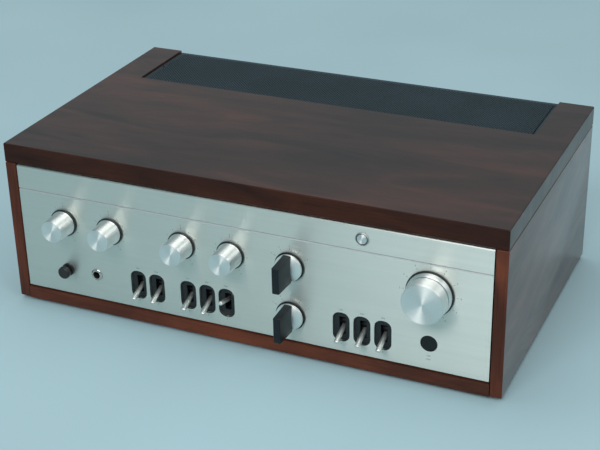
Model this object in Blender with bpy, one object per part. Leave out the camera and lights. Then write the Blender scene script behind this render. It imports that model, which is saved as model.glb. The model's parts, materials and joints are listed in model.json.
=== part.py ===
# Integrated amplifier: a veneered wood case around a steel chassis, with an
# aluminium fascia that carries turned knobs, selector grips and lever switches.
# Sizes are in metres. X runs to the right, Y to the back and Z up. The origin is
# on the surface the amplifier stands on, below the middle of its outline.

import math

import bmesh
import bpy
from mathutils import Matrix, Vector

# Clearances, and how far a cut runs past the piece it cuts
gap = 0.0003
overrun = 0.002
weld = 0.00001

# Wood case
case_width = 0.465
case_depth = 0.275
case_height = 0.154
side_thickness = 0.0105
top_thickness = 0.018
bottom_thickness = 0.0115
case_edge_bevel = 0.0008
floor_slot_length = 0.070
floor_slot_width = 0.006
floor_slot_pitch = 0.016
floor_slot_count = 8
floor_slot_middle_share = 0.6727
bevel_profile_share = 0.5

# Feet
foot_height = 0.003
foot_radius = 0.010
foot_bevel = 0.0008
foot_inset = 0.030

# Vent in the rear of the top board
vent_side_margin = 0.0325
vent_front_share = 0.6909
vent_recess = 0.0025
vent_ledge = 0.008
grille_thickness = 0.0012
grille_lip = 0.010
grille_columns = 12
grille_rows = 3
grille_bar = 0.005

# Fascia
fascia_side_gap = 0.001
fascia_top_gap = 0.0017
fascia_thickness = 0.003
fascia_recess = 0.001
fascia_sill = 0.0013
fascia_chamfer = 0.0008
groove_height_share = 0.8123
groove_width = 0.0018
groove_depth = 0.0008

# Rows of the controls as shares of the fascia's height, from its lower edge
upper_row_share = 0.5959
lower_row_share = 0.2074
slot_row_share = 0.1959
pilot_row_share = 0.9086

# Columns of the controls as shares of the fascia's width, from its middle
outer_tone_share = 0.3995
inner_tone_share = 0.0235
tone_pitch_share = 0.1068
selector_share = 0.1020
volume_share = 0.3824
pilot_share = 0.2493
jack_share = 0.3321
first_slot_share = 0.2344
middle_slot_share = 0.0790
right_slot_share = 0.2489
slot_pitch_share = 0.0423

# Chassis
plate_thickness = 0.0015
plate_margin = 0.0025
sheet_thickness = 0.0012
tray_side_height = 0.060
rear_inset = 0.008

# Knobs of the upper row
knob_reach = 0.021
skirt_float = 0.0005
skirt_thickness = 0.0013
tone_skirt_radius = 0.0129
tone_base_radius = 0.0117
tone_face_radius = 0.0104
knob_chamfer = 0.0006
core_boss_radius = 0.006
core_boss_length = 0.012
spindle_radius = 0.003
spindle_depth = 0.014
bushing_radius = 0.0046
tone_pot_radius = 0.012
tone_pot_depth = 0.013

# Selector grips
grip_reach = 0.0295
grip_width = 0.0065
grip_length = 0.0240
grip_root_length = 0.0256
grip_bevel = 0.0007
grip_boss_radius = 0.0028
grip_embed = 0.001
selector_skirt_radius = 0.0134
selector_disc_radius = 0.0122
selector_disc_thickness = 0.0046
selector_disc_flat = 0.0055
selector_disc_fall = 0.0020
selector_switch_radius = 0.016
selector_switch_depth = 0.024

# Volume knob with the balance ring around its base
ring_skirt_radius = 0.0203
ring_radius = 0.0200
ring_top_radius = 0.0186
ring_thickness = 0.0055
ring_bevel = 0.0022
ring_boss_radius = 0.0087
outer_spindle_radius = 0.0050
outer_spindle_depth = 0.010
volume_base_radius = 0.0183
volume_face_radius = 0.0179
volume_recess = 0.0009
volume_recess_depth = 0.0012
volume_bushing_radius = 0.0068
volume_pot_radius = 0.014
volume_pot_depth = 0.024

# Lever switches
slot_width_share = 0.8235
slot_height = 0.0278
slot_corner_share = 0.4286
lever_slit_width = 0.0060
lever_slit_height = 0.0160
lever_pivot_depth = 0.0130
lever_length = 0.0262
lever_root_radius = 0.0019
lever_tip_radius = 0.0022
lever_flatness_share = 0.75
lever_nose_radius_shares = (0.55, 0.90)
lever_nose_length_shares = (0.12, 0.45)
lever_drum_radius = 0.0032
lever_drum_width = 0.0080
lever_down_angle = math.radians(20.5)
lever_up_angle = math.radians(13.0)
raised_lever = 5
switch_cheek = 0.0022
switch_height = 0.0210
switch_body_start = 0.0060
switch_body_depth = 0.0120
switch_board_thickness = 0.0016
switch_board_height = 0.0300

# Push button at the left, push button at the right, jack and pilot lamp
button_reach = 0.0100
button_cap_radius = 0.0058
button_cap_thickness = 0.0042
button_cap_chamfer = 0.0012
button_neck_radius = 0.0036
button_collar_radius = 0.0060
button_collar_thickness = 0.0016
button_barrel_radius = 0.0051
button_body_radius = 0.0090
button_body_depth = 0.018
button_stem_depth = 0.008
jack_flange_radius = 0.0056
jack_flange_thickness = 0.0010
jack_barrel_radius = 0.0047
jack_bore_radius = 0.0033
jack_bore_depth = 0.0300
jack_body_radius = 0.0080
jack_body_depth = 0.0290
power_button_radius = 0.0072
power_button_thickness = 0.0042
power_button_recess = 0.0004
power_travel = 0.0030
power_stem_radius = 0.0030
power_stem_depth = 0.0130
power_body_radius = 0.0105
power_body_depth = 0.022
pilot_flange_radius = 0.0060
pilot_flange_thickness = 0.0009
pilot_barrel_radius = 0.0052
pilot_lens_radius = 0.0044
pilot_lens_reach = 0.0014
pilot_lens_depth = 0.0050
pilot_body_depth = 0.010

# Power supply and circuit boards inside
transformer_clearance = 0.0213
transformer_middle_share = 0.5455
transformer_width = 0.070
transformer_length = 0.062
transformer_height = 0.078
bobbin_width = 0.048
bobbin_stand_out = 0.012
bobbin_margin = 0.012
flange_width = 0.012
capacitor_clearance = 0.0045
capacitor_middle_share = 0.5818
capacitor_radius = 0.0175
capacitor_height = 0.070
capacitor_pitch = 0.040
clamp_height = 0.016
clamp_margin = 0.003
sink_left_share = -0.0911
sink_length_share = 0.4100
sink_back_clearance = 0.0088
sink_base = 0.005
sink_fin_depth = 0.030
sink_fin_thickness = 0.0025
sink_fin_count = 13
sink_height = 0.075
board_clearance = 0.0075
board_right_clearance = 0.0283
board_front_share = 0.2182
board_depth_share = 0.4364
board_lift = 0.010
board_thickness = 0.0016
standoff_radius = 0.003
standoff_inset = 0.008
board_part_height = 0.018
board_part_width = 0.020
board_part_shares = (0.2, 0.5, 0.8)

# Rear of the chassis
jack_field_share = 0.5695
jack_field_height_share = 0.5225
jack_columns = 6
jack_column_pitch_share = 0.0501
jack_line_pitch = 0.026
jack_shell_radius = 0.0042
jack_shell_bore = 0.0018
jack_shell_reach = 0.0095
jack_strip_thickness = 0.0025
terminal_field_share = -0.0456
terminal_field_height_share = 0.5225
terminal_columns = 4
terminal_pitch_share = 0.04556
terminal_line_pitch = 0.026
terminal_radius = 0.0055
terminal_collar_radius = 0.0040
terminal_collar = 0.0050
terminal_reach = 0.0140
outlet_share = -0.5695
outlet_height_share = 0.5628
outlet_width = 0.076
outlet_block_height = 0.030
outlet_face = 0.0025
outlet_depth = 0.018
outlet_pitch = 0.036
blade_slot_width = 0.0024
blade_slot_height = 0.0080
blade_slot_pitch = 0.0125
blade_slot_depth = 0.014
field_margin = 0.006
gland_share = -0.8884
gland_height_share = 0.2407
gland_bore_radius = 0.0034
gland_radius = 0.0065
gland_flange_radius = 0.0095
gland_flange_thickness = 0.0022
gland_reach = 0.0080

# Facets of the round pieces
face_sides = 30
ring_sides = 32
core_sides = 18
hole_sides = 14
small_sides = 14
fine_sides = 8
lever_sides = 12
corner_steps = 4
sharp_angle = math.radians(32.0)
quarter_turn = math.radians(90.0)
full_turn = math.radians(360.0)

# Levels that the sizes above set
overall_depth = (grip_reach - fascia_recess) + case_depth + (terminal_reach - rear_inset)
case_front = -overall_depth / 2.0 + grip_reach - fascia_recess
case_back = case_front + case_depth
case_bottom = foot_height + gap
case_top = case_bottom + case_height
seam_height = case_top - top_thickness
sill_height = case_bottom + bottom_thickness
inner_half_width = case_width / 2.0 - side_thickness
vent_width = case_width - vent_side_margin * 2.0
vent_start = case_front + case_depth * vent_front_share
fascia_bottom = sill_height + fascia_sill
fascia_top = seam_height - fascia_top_gap
fascia_height = fascia_top - fascia_bottom
fascia_width = (inner_half_width - fascia_side_gap) * 2.0
fascia_front = case_front + fascia_recess
fascia_back = fascia_front + fascia_thickness
plate_front = fascia_back + gap
plate_back = plate_front + plate_thickness
body_front = plate_back + gap
rear_face = case_back - rear_inset
rear_front = rear_face - sheet_thickness
tray_bottom = sill_height + gap
tray_top = tray_bottom + sheet_thickness
floor_level = tray_top + gap
half_chassis = inner_half_width - plate_margin
skirt_back = fascia_front - skirt_float
skirt_front = skirt_back - skirt_thickness
lever_pivot = fascia_front + lever_pivot_depth
inner_wall = half_chassis - sheet_thickness
chassis_width = half_chassis * 2.0
rear_height = seam_height - tray_bottom

# Rows and columns of the controls
upper_row = fascia_bottom + fascia_height * upper_row_share
lower_row = fascia_bottom + fascia_height * lower_row_share
slot_row = fascia_bottom + fascia_height * slot_row_share
pilot_row = fascia_bottom + fascia_height * pilot_row_share
outer_tone_place = -fascia_width * outer_tone_share
inner_tone_place = -fascia_width * inner_tone_share
tone_pitch = fascia_width * tone_pitch_share
selector_place = fascia_width * selector_share
volume_place = fascia_width * volume_share
pilot_place = fascia_width * pilot_share
jack_place = -fascia_width * jack_share
slot_pitch = fascia_width * slot_pitch_share
slot_width = slot_pitch * slot_width_share
slot_corner = slot_width * slot_corner_share

# Places of the pieces inside, one after the other from the left wall
transformer_place = transformer_clearance + flange_width + transformer_width / 2.0 - inner_wall
transformer_right = transformer_place + transformer_width / 2.0 + flange_width
capacitor_reach = capacitor_radius + clamp_margin
capacitor_place = transformer_right + capacitor_clearance + capacitor_reach
capacitor_last = capacitor_place + capacitor_pitch
board_left = capacitor_last + capacitor_reach + board_clearance
board_right = inner_wall - board_right_clearance
board_length = board_right - board_left
board_front = case_front + case_depth * board_front_share
board_depth = case_depth * board_depth_share
sink_left = chassis_width * sink_left_share
sink_length = chassis_width * sink_length_share
sink_front = rear_front - sink_back_clearance - sink_fin_depth - sink_base

# Places of the connectors on the rear panel
jack_field_place = half_chassis * jack_field_share
jack_field_height = tray_bottom + rear_height * jack_field_height_share
jack_column_pitch = chassis_width * jack_column_pitch_share
terminal_field_place = half_chassis * terminal_field_share
terminal_field_height = tray_bottom + rear_height * terminal_field_height_share
terminal_pitch = chassis_width * terminal_pitch_share
outlet_place = half_chassis * outlet_share
outlet_height = tray_bottom + rear_height * outlet_height_share
gland_place = half_chassis * gland_share
gland_height = tray_bottom + rear_height * gland_height_share


def clear_scene():
    for item in list(bpy.data.objects):
        bpy.data.objects.remove(item, do_unlink=True)


def material(name, colour, roughness, metallic=0.0):
    made = bpy.data.materials.new(name)
    made.use_nodes = True
    shader = made.node_tree.nodes["Principled BSDF"]
    shader.inputs["Base Color"].default_value = (*colour, 1.0)
    shader.inputs["Roughness"].default_value = roughness
    shader.inputs["Metallic"].default_value = metallic
    made.diffuse_color = (*colour, 1.0)
    return made


def add_block(bm, low, high):
    size = [b - a for a, b in zip(low, high)]
    middle = [(a + b) / 2.0 for a, b in zip(low, high)]
    matrix = Matrix.Translation(middle) @ Matrix.Diagonal((*size, 1.0))
    return bmesh.ops.create_cube(bm, size=1.0, matrix=matrix)["verts"]


def add_column(bm, place, height, radius, front, back, sides):
    # A round bar along Y
    middle = Matrix.Translation((place, (front + back) / 2.0, height))
    matrix = middle @ Matrix.Rotation(quarter_turn, 4, "X")
    bmesh.ops.create_cone(bm, cap_ends=True, segments=sides, radius1=radius,
                          radius2=radius, depth=back - front, matrix=matrix)


def add_post(bm, place, depth, radius, low, high, sides):
    # A round bar along Z
    matrix = Matrix.Translation((place, depth, (low + high) / 2.0))
    bmesh.ops.create_cone(bm, cap_ends=True, segments=sides, radius1=radius,
                          radius2=radius, depth=high - low, matrix=matrix)


def add_turned(bm, profile, place, height, sides, closed=False):
    # Turns a profile of (radius, y) points about an axis along Y
    verts = [bm.verts.new((place + radius, y, height)) for radius, y in profile]
    pairs = list(zip(verts, verts[1:]))
    if closed:
        pairs.append((verts[-1], verts[0]))
    edges = [bm.edges.new(pair) for pair in pairs]
    bmesh.ops.spin(bm, geom=verts + edges, cent=(place, 0.0, height), axis=(0.0, 1.0, 0.0),
                   angle=full_turn, steps=sides, use_merge=True)
    bmesh.ops.remove_doubles(bm, verts=bm.verts, dist=weld)


def add_prism(bm, outline, axis, start, end):
    # Extrudes an outline along one axis; the outline holds the other two in order
    def point(pair, along):
        values = list(pair)
        values.insert("XYZ".index(axis), along)
        return values

    face = bm.faces.new([bm.verts.new(point(pair, start)) for pair in outline])
    grown = bmesh.ops.extrude_face_region(bm, geom=[face])["geom"]
    verts = [item for item in grown if isinstance(item, bmesh.types.BMVert)]
    step = Vector(point((0.0, 0.0), end - start))
    bmesh.ops.translate(bm, verts=verts, vec=step)


def rounded_outline(place, height, width, tall, radius):
    # A rectangle with round corners, as (x, z) points about its middle
    points = []
    corners = ((1, 1), (-1, 1), (-1, -1), (1, -1))
    for number, (right, up) in enumerate(corners):
        x = place + right * (width / 2.0 - radius)
        z = height + up * (tall / 2.0 - radius)
        for step in range(corner_steps + 1):
            angle = quarter_turn * (number + step / corner_steps)
            points.append((x + radius * math.cos(angle), z + radius * math.sin(angle)))
    return points


def finish(bm, name, look, origin=(0.0, 0.0, 0.0), smooth=False):
    bmesh.ops.recalc_face_normals(bm, faces=bm.faces)
    bmesh.ops.translate(bm, verts=bm.verts, vec=-Vector(origin))
    mesh = bpy.data.meshes.new(name)
    bm.to_mesh(mesh)
    bm.free()
    made = bpy.data.objects.new(name, mesh)
    made.location = origin
    bpy.context.scene.collection.objects.link(made)
    if look is not None:
        mesh.materials.append(look)
    if smooth:
        mesh.shade_smooth()
        mesh.set_sharp_from_angle(angle=sharp_angle)
    return made


def combine(target, bm, operation):
    # Cuts or joins a helper shape, which stays in the scene as a hidden wire
    helper = finish(bm, target.name + "_" + operation.lower(), None)
    helper.hide_render = True
    helper.display_type = "WIRE"
    change = target.modifiers.new(operation.title(), "BOOLEAN")
    change.operation = operation
    change.solver = "EXACT"
    change.object = helper
    return helper


def bevel_all(bm, width):
    bmesh.ops.bevel(bm, geom=list(bm.edges), offset=width, offset_type="OFFSET",
                    segments=1, profile=bevel_profile_share, affect="EDGES", clamp_overlap=True)


# Places that repeat

def tone_places():
    return (outer_tone_place, outer_tone_place + tone_pitch,
            inner_tone_place - tone_pitch, inner_tone_place)


def slot_places():
    first = -fascia_width * first_slot_share
    middle = -fascia_width * middle_slot_share
    right = fascia_width * right_slot_share
    return (first, first + slot_pitch,
            middle - slot_pitch, middle, middle + slot_pitch,
            right - slot_pitch, right, right + slot_pitch)


def selector_rows():
    return (upper_row, lower_row)


# Wood case

def wood():
    return material("rosewood_veneer", (0.13, 0.035, 0.02), 0.45)


def side_board(name, side):
    bm = bmesh.new()
    inner = side * inner_half_width
    outer = side * case_width / 2.0
    low = (min(inner, outer), case_front, case_bottom)
    high = (max(inner, outer), case_back, seam_height - gap)
    add_block(bm, low, high)
    bevel_all(bm, case_edge_bevel)
    return finish(bm, name, wood())


def bottom_board():
    bm = bmesh.new()
    half = inner_half_width - gap
    add_block(bm, (-half, case_front, case_bottom), (half, case_back, sill_height))
    board = finish(bm, "bottom_board", wood())
    cuts = bmesh.new()
    first = -floor_slot_pitch * (floor_slot_count - 1) / 2.0
    middle = case_front + case_depth * floor_slot_middle_share
    for number in range(floor_slot_count):
        place = first + floor_slot_pitch * number
        add_block(cuts,
                  (place - floor_slot_width / 2.0, middle - floor_slot_length / 2.0,
                   case_bottom - overrun),
                  (place + floor_slot_width / 2.0, middle + floor_slot_length / 2.0,
                   sill_height + overrun))
    combine(board, cuts, "DIFFERENCE")
    return board


def top_board():
    bm = bmesh.new()
    half = case_width / 2.0
    add_block(bm, (-half, case_front, seam_height), (half, case_back, case_top))
    bevel_all(bm, case_edge_bevel)
    board = finish(bm, "top_board", wood())
    rebate = bmesh.new()
    half_vent = vent_width / 2.0
    front = vent_start
    ledge_height = case_top - vent_recess - grille_thickness - gap
    add_block(rebate, (-half_vent, front, ledge_height),
              (half_vent, case_back + overrun, case_top + overrun))
    combine(board, rebate, "DIFFERENCE")
    opening = bmesh.new()
    add_block(opening, (-half_vent + vent_ledge, front + vent_ledge, seam_height - overrun),
              (half_vent - vent_ledge, case_back + overrun, case_top))
    helper = combine(board, opening, "DIFFERENCE")
    helper.name = "top_board_opening"
    return board


def vent_grille():
    # A sheet that lies on the rebate, turned down behind the opening
    bm = bmesh.new()
    half = vent_width / 2.0 - gap
    top = case_top - vent_recess
    front = vent_start + gap
    add_block(bm, (-half, front, top - grille_thickness), (half, case_back, top))
    sheet = finish(bm, "vent_grille", material("vent_mesh", (0.03, 0.045, 0.055), 0.5, 0.6))
    lip = bmesh.new()
    half_lip = vent_width / 2.0 - vent_ledge - gap
    add_block(lip, (-half_lip, case_back - grille_thickness, top - grille_lip),
              (half_lip, case_back, top - grille_thickness / 2.0))
    combine(sheet, lip, "UNION")
    openings = bmesh.new()
    inset = vent_ledge + grille_bar
    width = (half - inset) * 2.0 + grille_bar
    depth = case_back - front - inset * 2.0 + grille_bar
    column, row = width / grille_columns, depth / grille_rows
    for across in range(grille_columns):
        left = -half + inset + column * across
        for along in range(grille_rows):
            near = front + inset + row * along
            add_block(openings, (left, near, top - grille_thickness - overrun),
                      (left + column - grille_bar, near + row - grille_bar, top + overrun))
    cutter = combine(sheet, openings, "DIFFERENCE")
    cutter.name = "vent_grille_openings"
    return sheet


def foot(name, side, depth):
    bm = bmesh.new()
    place = side * (case_width / 2.0 - foot_inset)
    add_post(bm, place, depth, foot_radius, 0.0, foot_height, small_sides)
    low = [edge for edge in bm.edges if all(vert.co.z < foot_height / 2.0 for vert in edge.verts)]
    bmesh.ops.bevel(bm, geom=low, offset=foot_bevel, offset_type="OFFSET", segments=1,
                    profile=bevel_profile_share, affect="EDGES")
    return finish(bm, name, material(name + "_rubber", (0.03, 0.03, 0.03), 0.8), smooth=True)


# Fascia and the steel plate behind it

def add_control_holes(bm, front, back, lever_outline):
    for place in tone_places():
        add_column(bm, place, upper_row, bushing_radius + gap, front, back, hole_sides)
    for height in selector_rows():
        add_column(bm, selector_place, height, bushing_radius + gap, front, back, hole_sides)
    add_column(bm, volume_place, upper_row, volume_bushing_radius + gap, front, back,
               hole_sides)
    add_column(bm, volume_place, lower_row, power_button_radius + gap, front, back, face_sides)
    add_column(bm, outer_tone_place, lower_row, button_barrel_radius + gap, front, back,
               hole_sides)
    add_column(bm, jack_place, lower_row, jack_barrel_radius + gap, front, back, hole_sides)
    add_column(bm, pilot_place, pilot_row, pilot_barrel_radius + gap, front, back, hole_sides)
    for place in slot_places():
        add_prism(bm, lever_outline(place), "Y", front, back)


def fascia():
    bm = bmesh.new()
    groove = fascia_bottom + fascia_height * groove_height_share
    outline = [
        (fascia_back, fascia_bottom),
        (fascia_front + fascia_chamfer, fascia_bottom),
        (fascia_front, fascia_bottom + fascia_chamfer),
        (fascia_front, groove - groove_width / 2.0),
        (fascia_front + groove_depth, groove),
        (fascia_front, groove + groove_width / 2.0),
        (fascia_front, fascia_top - fascia_chamfer),
        (fascia_front + fascia_chamfer, fascia_top),
        (fascia_back, fascia_top),
    ]
    add_prism(bm, outline, "X", -fascia_width / 2.0, fascia_width / 2.0)
    panel = finish(bm, "fascia", material("satin_aluminium", (0.62, 0.66, 0.66), 0.35, 1.0))
    holes = bmesh.new()

    def slot(place):
        return rounded_outline(place, slot_row, slot_width, slot_height, slot_corner)

    add_control_holes(holes, fascia_front - overrun, fascia_back + overrun, slot)
    combine(panel, holes, "DIFFERENCE")
    return panel


def control_plate():
    bm = bmesh.new()
    top = seam_height - plate_margin
    add_block(bm, (-half_chassis, plate_front, tray_bottom), (half_chassis, plate_back, top))
    plate = finish(bm, "control_plate", material("plate_black", (0.01, 0.01, 0.012), 0.6))
    holes = bmesh.new()

    def slit(place):
        half_width = lever_slit_width / 2.0
        half_height = lever_slit_height / 2.0
        middle = slot_row
        return [(place - half_width, middle - half_height),
                (place + half_width, middle - half_height),
                (place + half_width, middle + half_height),
                (place - half_width, middle + half_height)]

    add_control_holes(holes, plate_front - overrun, plate_back + overrun, slit)
    combine(plate, holes, "DIFFERENCE")
    return plate


# Upper row: four small knobs

def knob_core(name, place, height):
    # Black core: the skirt seen around the knob, its boss and the spindle
    bm = bmesh.new()
    boss_front = skirt_front - core_boss_length
    spindle_end = fascia_front + spindle_depth
    profile = [
        (0.0, boss_front),
        (core_boss_radius, boss_front),
        (core_boss_radius, skirt_front),
        (tone_skirt_radius, skirt_front),
        (tone_skirt_radius, skirt_back),
        (spindle_radius, skirt_back),
        (spindle_radius, spindle_end),
        (0.0, spindle_end),
    ]
    add_turned(bm, profile, place, height, core_sides)
    look = material(name + "_black", (0.012, 0.012, 0.013), 0.4)
    return finish(bm, name, look, (place, fascia_front, height), smooth=True)


def knob_cap(name, place, height):
    # Turned aluminium shell that is pressed over the core's boss
    bm = bmesh.new()
    face = fascia_front - knob_reach
    bore = core_boss_radius + gap
    bore_end = skirt_front - core_boss_length - gap
    profile = [
        (0.0, face),
        (tone_face_radius - knob_chamfer, face),
        (tone_face_radius, face + knob_chamfer),
        (tone_base_radius, skirt_front - gap),
        (bore, skirt_front - gap),
        (bore, bore_end),
        (0.0, bore_end),
    ]
    add_turned(bm, profile, place, height, face_sides)
    look = material(name + "_aluminium", (0.75, 0.76, 0.76), 0.25, 1.0)
    return finish(bm, name, look, (place, fascia_front, height), smooth=True)


def control_body(name, place, height, radius, depth, bore_depth, sides):
    # Potentiometer or rotary switch: a round can behind the plate and its bushing
    bm = bmesh.new()
    bore = spindle_radius + gap
    profile = [
        (0.0, bore_depth + gap),
        (bore, bore_depth + gap),
        (bore, fascia_front + gap),
        (bushing_radius, fascia_front + gap),
        (bushing_radius, body_front),
        (radius, body_front),
        (radius, body_front + depth),
        (0.0, body_front + depth),
    ]
    add_turned(bm, profile, place, height, sides)
    look = material(name + "_steel", (0.45, 0.45, 0.44), 0.4, 1.0)
    return finish(bm, name, look, smooth=True)


def tone_controls():
    spindle_end = fascia_front + spindle_depth
    for number, place in enumerate(tone_places(), 1):
        knob_core(f"tone_core_{number}", place, upper_row)
        knob_cap(f"tone_cap_{number}", place, upper_row)
        control_body(f"tone_pot_{number}", place, upper_row, tone_pot_radius, tone_pot_depth,
                     spindle_end, small_sides)


# Selectors: a black grip bar over a bright disc

def selector_grip(name, place, height):
    bm = bmesh.new()
    disc_front = skirt_front - gap - selector_disc_thickness
    root = disc_front - gap
    face = fascia_front - grip_reach
    spindle_end = fascia_front + spindle_depth
    heel = root + selector_disc_fall
    outline = [
        (root, height - selector_disc_flat),
        (heel, height - grip_root_length / 2.0),
        (face, height - grip_length / 2.0),
        (face, height + grip_length / 2.0),
        (heel, height + grip_root_length / 2.0),
        (root, height + selector_disc_flat),
    ]
    half = grip_width / 2.0
    add_prism(bm, outline, "X", place - half, place + half)
    bevel_all(bm, grip_bevel)
    look = material(name + "_black", (0.02, 0.022, 0.026), 0.35)
    grip = finish(bm, name, look, (place, fascia_front, height))
    core = bmesh.new()
    profile = [
        (0.0, root - grip_embed),
        (grip_boss_radius, root - grip_embed),
        (grip_boss_radius, skirt_front),
        (selector_skirt_radius, skirt_front),
        (selector_skirt_radius, skirt_back),
        (spindle_radius, skirt_back),
        (spindle_radius, spindle_end),
        (0.0, spindle_end),
    ]
    add_turned(core, profile, place, height, core_sides)
    combine(grip, core, "UNION")
    return grip


def selector_disc(name, place, height):
    bm = bmesh.new()
    back = skirt_front - gap
    front = back - selector_disc_thickness
    bore = grip_boss_radius + gap
    profile = [
        (bore, back),
        (bore, front),
        (selector_disc_flat, front),
        (selector_disc_radius, front + selector_disc_fall),
        (selector_disc_radius, back),
    ]
    add_turned(bm, profile, place, height, face_sides, closed=True)
    look = material(name + "_aluminium", (0.75, 0.76, 0.76), 0.25, 1.0)
    return finish(bm, name, look, (place, fascia_front, height), smooth=True)


def selector_controls():
    spindle_end = fascia_front + spindle_depth
    for name, height in zip(("upper", "lower"), selector_rows()):
        selector_grip(f"selector_grip_{name}", selector_place, height)
        selector_disc(f"selector_disc_{name}", selector_place, height)
        control_body(f"selector_switch_{name}", selector_place, height,
                     selector_switch_radius, selector_switch_depth, spindle_end, small_sides)


# Volume knob and balance ring, one inside the other

def ring_levels():
    back = skirt_front - gap
    return back, back - ring_thickness


def volume_knob(height):
    bm = bmesh.new()
    face = fascia_front - knob_reach
    back = ring_levels()[1] - gap
    neck = volume_base_radius - volume_recess_depth
    end = body_front + volume_pot_depth / 2.0
    profile = [
        (0.0, face),
        (volume_face_radius - knob_chamfer, face),
        (volume_face_radius, face + knob_chamfer),
        (volume_base_radius, back - volume_recess),
        (neck, back - volume_recess),
        (neck, back),
        (spindle_radius, back),
        (spindle_radius, end),
        (0.0, end),
    ]
    add_turned(bm, profile, volume_place, height, ring_sides)
    look = material("volume_aluminium", (0.75, 0.76, 0.76), 0.25, 1.0)
    return finish(bm, "volume_knob", look, (volume_place, fascia_front, height), smooth=True)


def balance_ring(height):
    bm = bmesh.new()
    back, front = ring_levels()
    bore = ring_boss_radius + gap
    profile = [
        (bore, back),
        (bore, front),
        (ring_top_radius, front),
        (ring_radius, front + ring_bevel),
        (ring_radius, back),
    ]
    add_turned(bm, profile, volume_place, height, ring_sides, closed=True)
    look = material("balance_aluminium", (0.75, 0.76, 0.76), 0.25, 1.0)
    return finish(bm, "balance_ring", look, (volume_place, fascia_front, height), smooth=True)


def balance_skirt(height):
    # Black skirt, boss and hollow spindle that carry the ring
    bm = bmesh.new()
    bore = spindle_radius + gap
    front = ring_levels()[1]
    end = fascia_front + outer_spindle_depth
    profile = [
        (bore, front),
        (ring_boss_radius, front),
        (ring_boss_radius, skirt_front),
        (ring_skirt_radius, skirt_front),
        (ring_skirt_radius, skirt_back),
        (outer_spindle_radius, skirt_back),
        (outer_spindle_radius, end),
        (bore, end),
    ]
    add_turned(bm, profile, volume_place, height, core_sides, closed=True)
    look = material("balance_black", (0.012, 0.012, 0.013), 0.4)
    return finish(bm, "balance_skirt", look, (volume_place, fascia_front, height), smooth=True)


def volume_pot(height):
    bm = bmesh.new()
    inner_end = body_front + volume_pot_depth / 2.0 + gap
    outer_end = fascia_front + outer_spindle_depth + gap
    profile = [
        (0.0, inner_end),
        (spindle_radius + gap, inner_end),
        (spindle_radius + gap, outer_end),
        (outer_spindle_radius + gap, outer_end),
        (outer_spindle_radius + gap, fascia_front + gap),
        (volume_bushing_radius, fascia_front + gap),
        (volume_bushing_radius, body_front),
        (volume_pot_radius, body_front),
        (volume_pot_radius, body_front + volume_pot_depth),
        (0.0, body_front + volume_pot_depth),
    ]
    add_turned(bm, profile, volume_place, height, core_sides)
    look = material("volume_pot_steel", (0.45, 0.45, 0.44), 0.4, 1.0)
    return finish(bm, "volume_pot", look, smooth=True)


# Lever switches

def lever(number, place, height):
    # A flattened bat that widens to its tip, on a drum that turns about X
    angle = lever_up_angle if number == raised_lever else -lever_down_angle
    pivot = Vector((place, lever_pivot, height))
    turn = Matrix.Rotation(-angle, 4, "X")
    look = material(f"lever_{number}_chrome", (0.8, 0.8, 0.79), 0.15, 1.0)
    bm = bmesh.new()
    tip = -lever_length
    neck = -lever_length + lever_tip_radius
    nose = [(lever_tip_radius * wide, tip + lever_tip_radius * long)
            for wide, long in zip(lever_nose_radius_shares, lever_nose_length_shares)]
    profile = [(0.0, tip), *nose, (lever_tip_radius, neck), (lever_root_radius, 0.0), (0.0, 0.0)]
    add_turned(bm, profile, 0.0, 0.0, lever_sides)
    bmesh.ops.scale(bm, verts=bm.verts, vec=(1.0, 1.0, lever_flatness_share))
    bmesh.ops.transform(bm, matrix=Matrix.Translation(pivot) @ turn, verts=bm.verts)
    bat = finish(bm, f"lever_{number}", look, pivot, smooth=True)
    drum = bmesh.new()
    across = Matrix.Translation(pivot) @ Matrix.Rotation(quarter_turn, 4, "Y")
    bmesh.ops.create_cone(drum, cap_ends=True, segments=small_sides,
                          radius1=lever_drum_radius, radius2=lever_drum_radius,
                          depth=lever_drum_width, matrix=across)
    combine(bat, drum, "UNION")
    return bat


def switch_bank(name, places, height):
    # Slide switches on one board; each has two cheeks that hold a lever's drum
    bm = bmesh.new()
    board_front = lever_pivot + switch_body_start + switch_body_depth
    half_board = switch_board_height / 2.0
    outer = lever_drum_width / 2.0 + gap + switch_cheek
    add_block(bm, (places[0] - outer - field_margin, board_front, height - half_board),
              (places[-1] + outer + field_margin, board_front + switch_board_thickness,
               height + half_board))
    look = material(name + "_phenolic", (0.28, 0.16, 0.07), 0.5)
    bank = finish(bm, name, look)
    bodies = bmesh.new()
    inner = lever_drum_width / 2.0 + gap
    start = lever_pivot + switch_body_start
    end = board_front + switch_board_thickness / 2.0
    for place in places:
        outline = [
            (place - outer, body_front),
            (place - inner, body_front),
            (place - inner, start),
            (place + inner, start),
            (place + inner, body_front),
            (place + outer, body_front),
            (place + outer, end),
            (place - outer, end),
        ]
        add_prism(bodies, outline, "Z", height - switch_height / 2.0,
                  height + switch_height / 2.0)
    combine(bank, bodies, "UNION")
    return bank


def lever_controls():
    places = slot_places()
    for number, place in enumerate(places, 1):
        lever(number, place, slot_row)
    switch_bank("switch_bank_left", places[:raised_lever], slot_row)
    switch_bank("switch_bank_right", places[raised_lever:], slot_row)


# Push buttons, jack and pilot lamp

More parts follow.
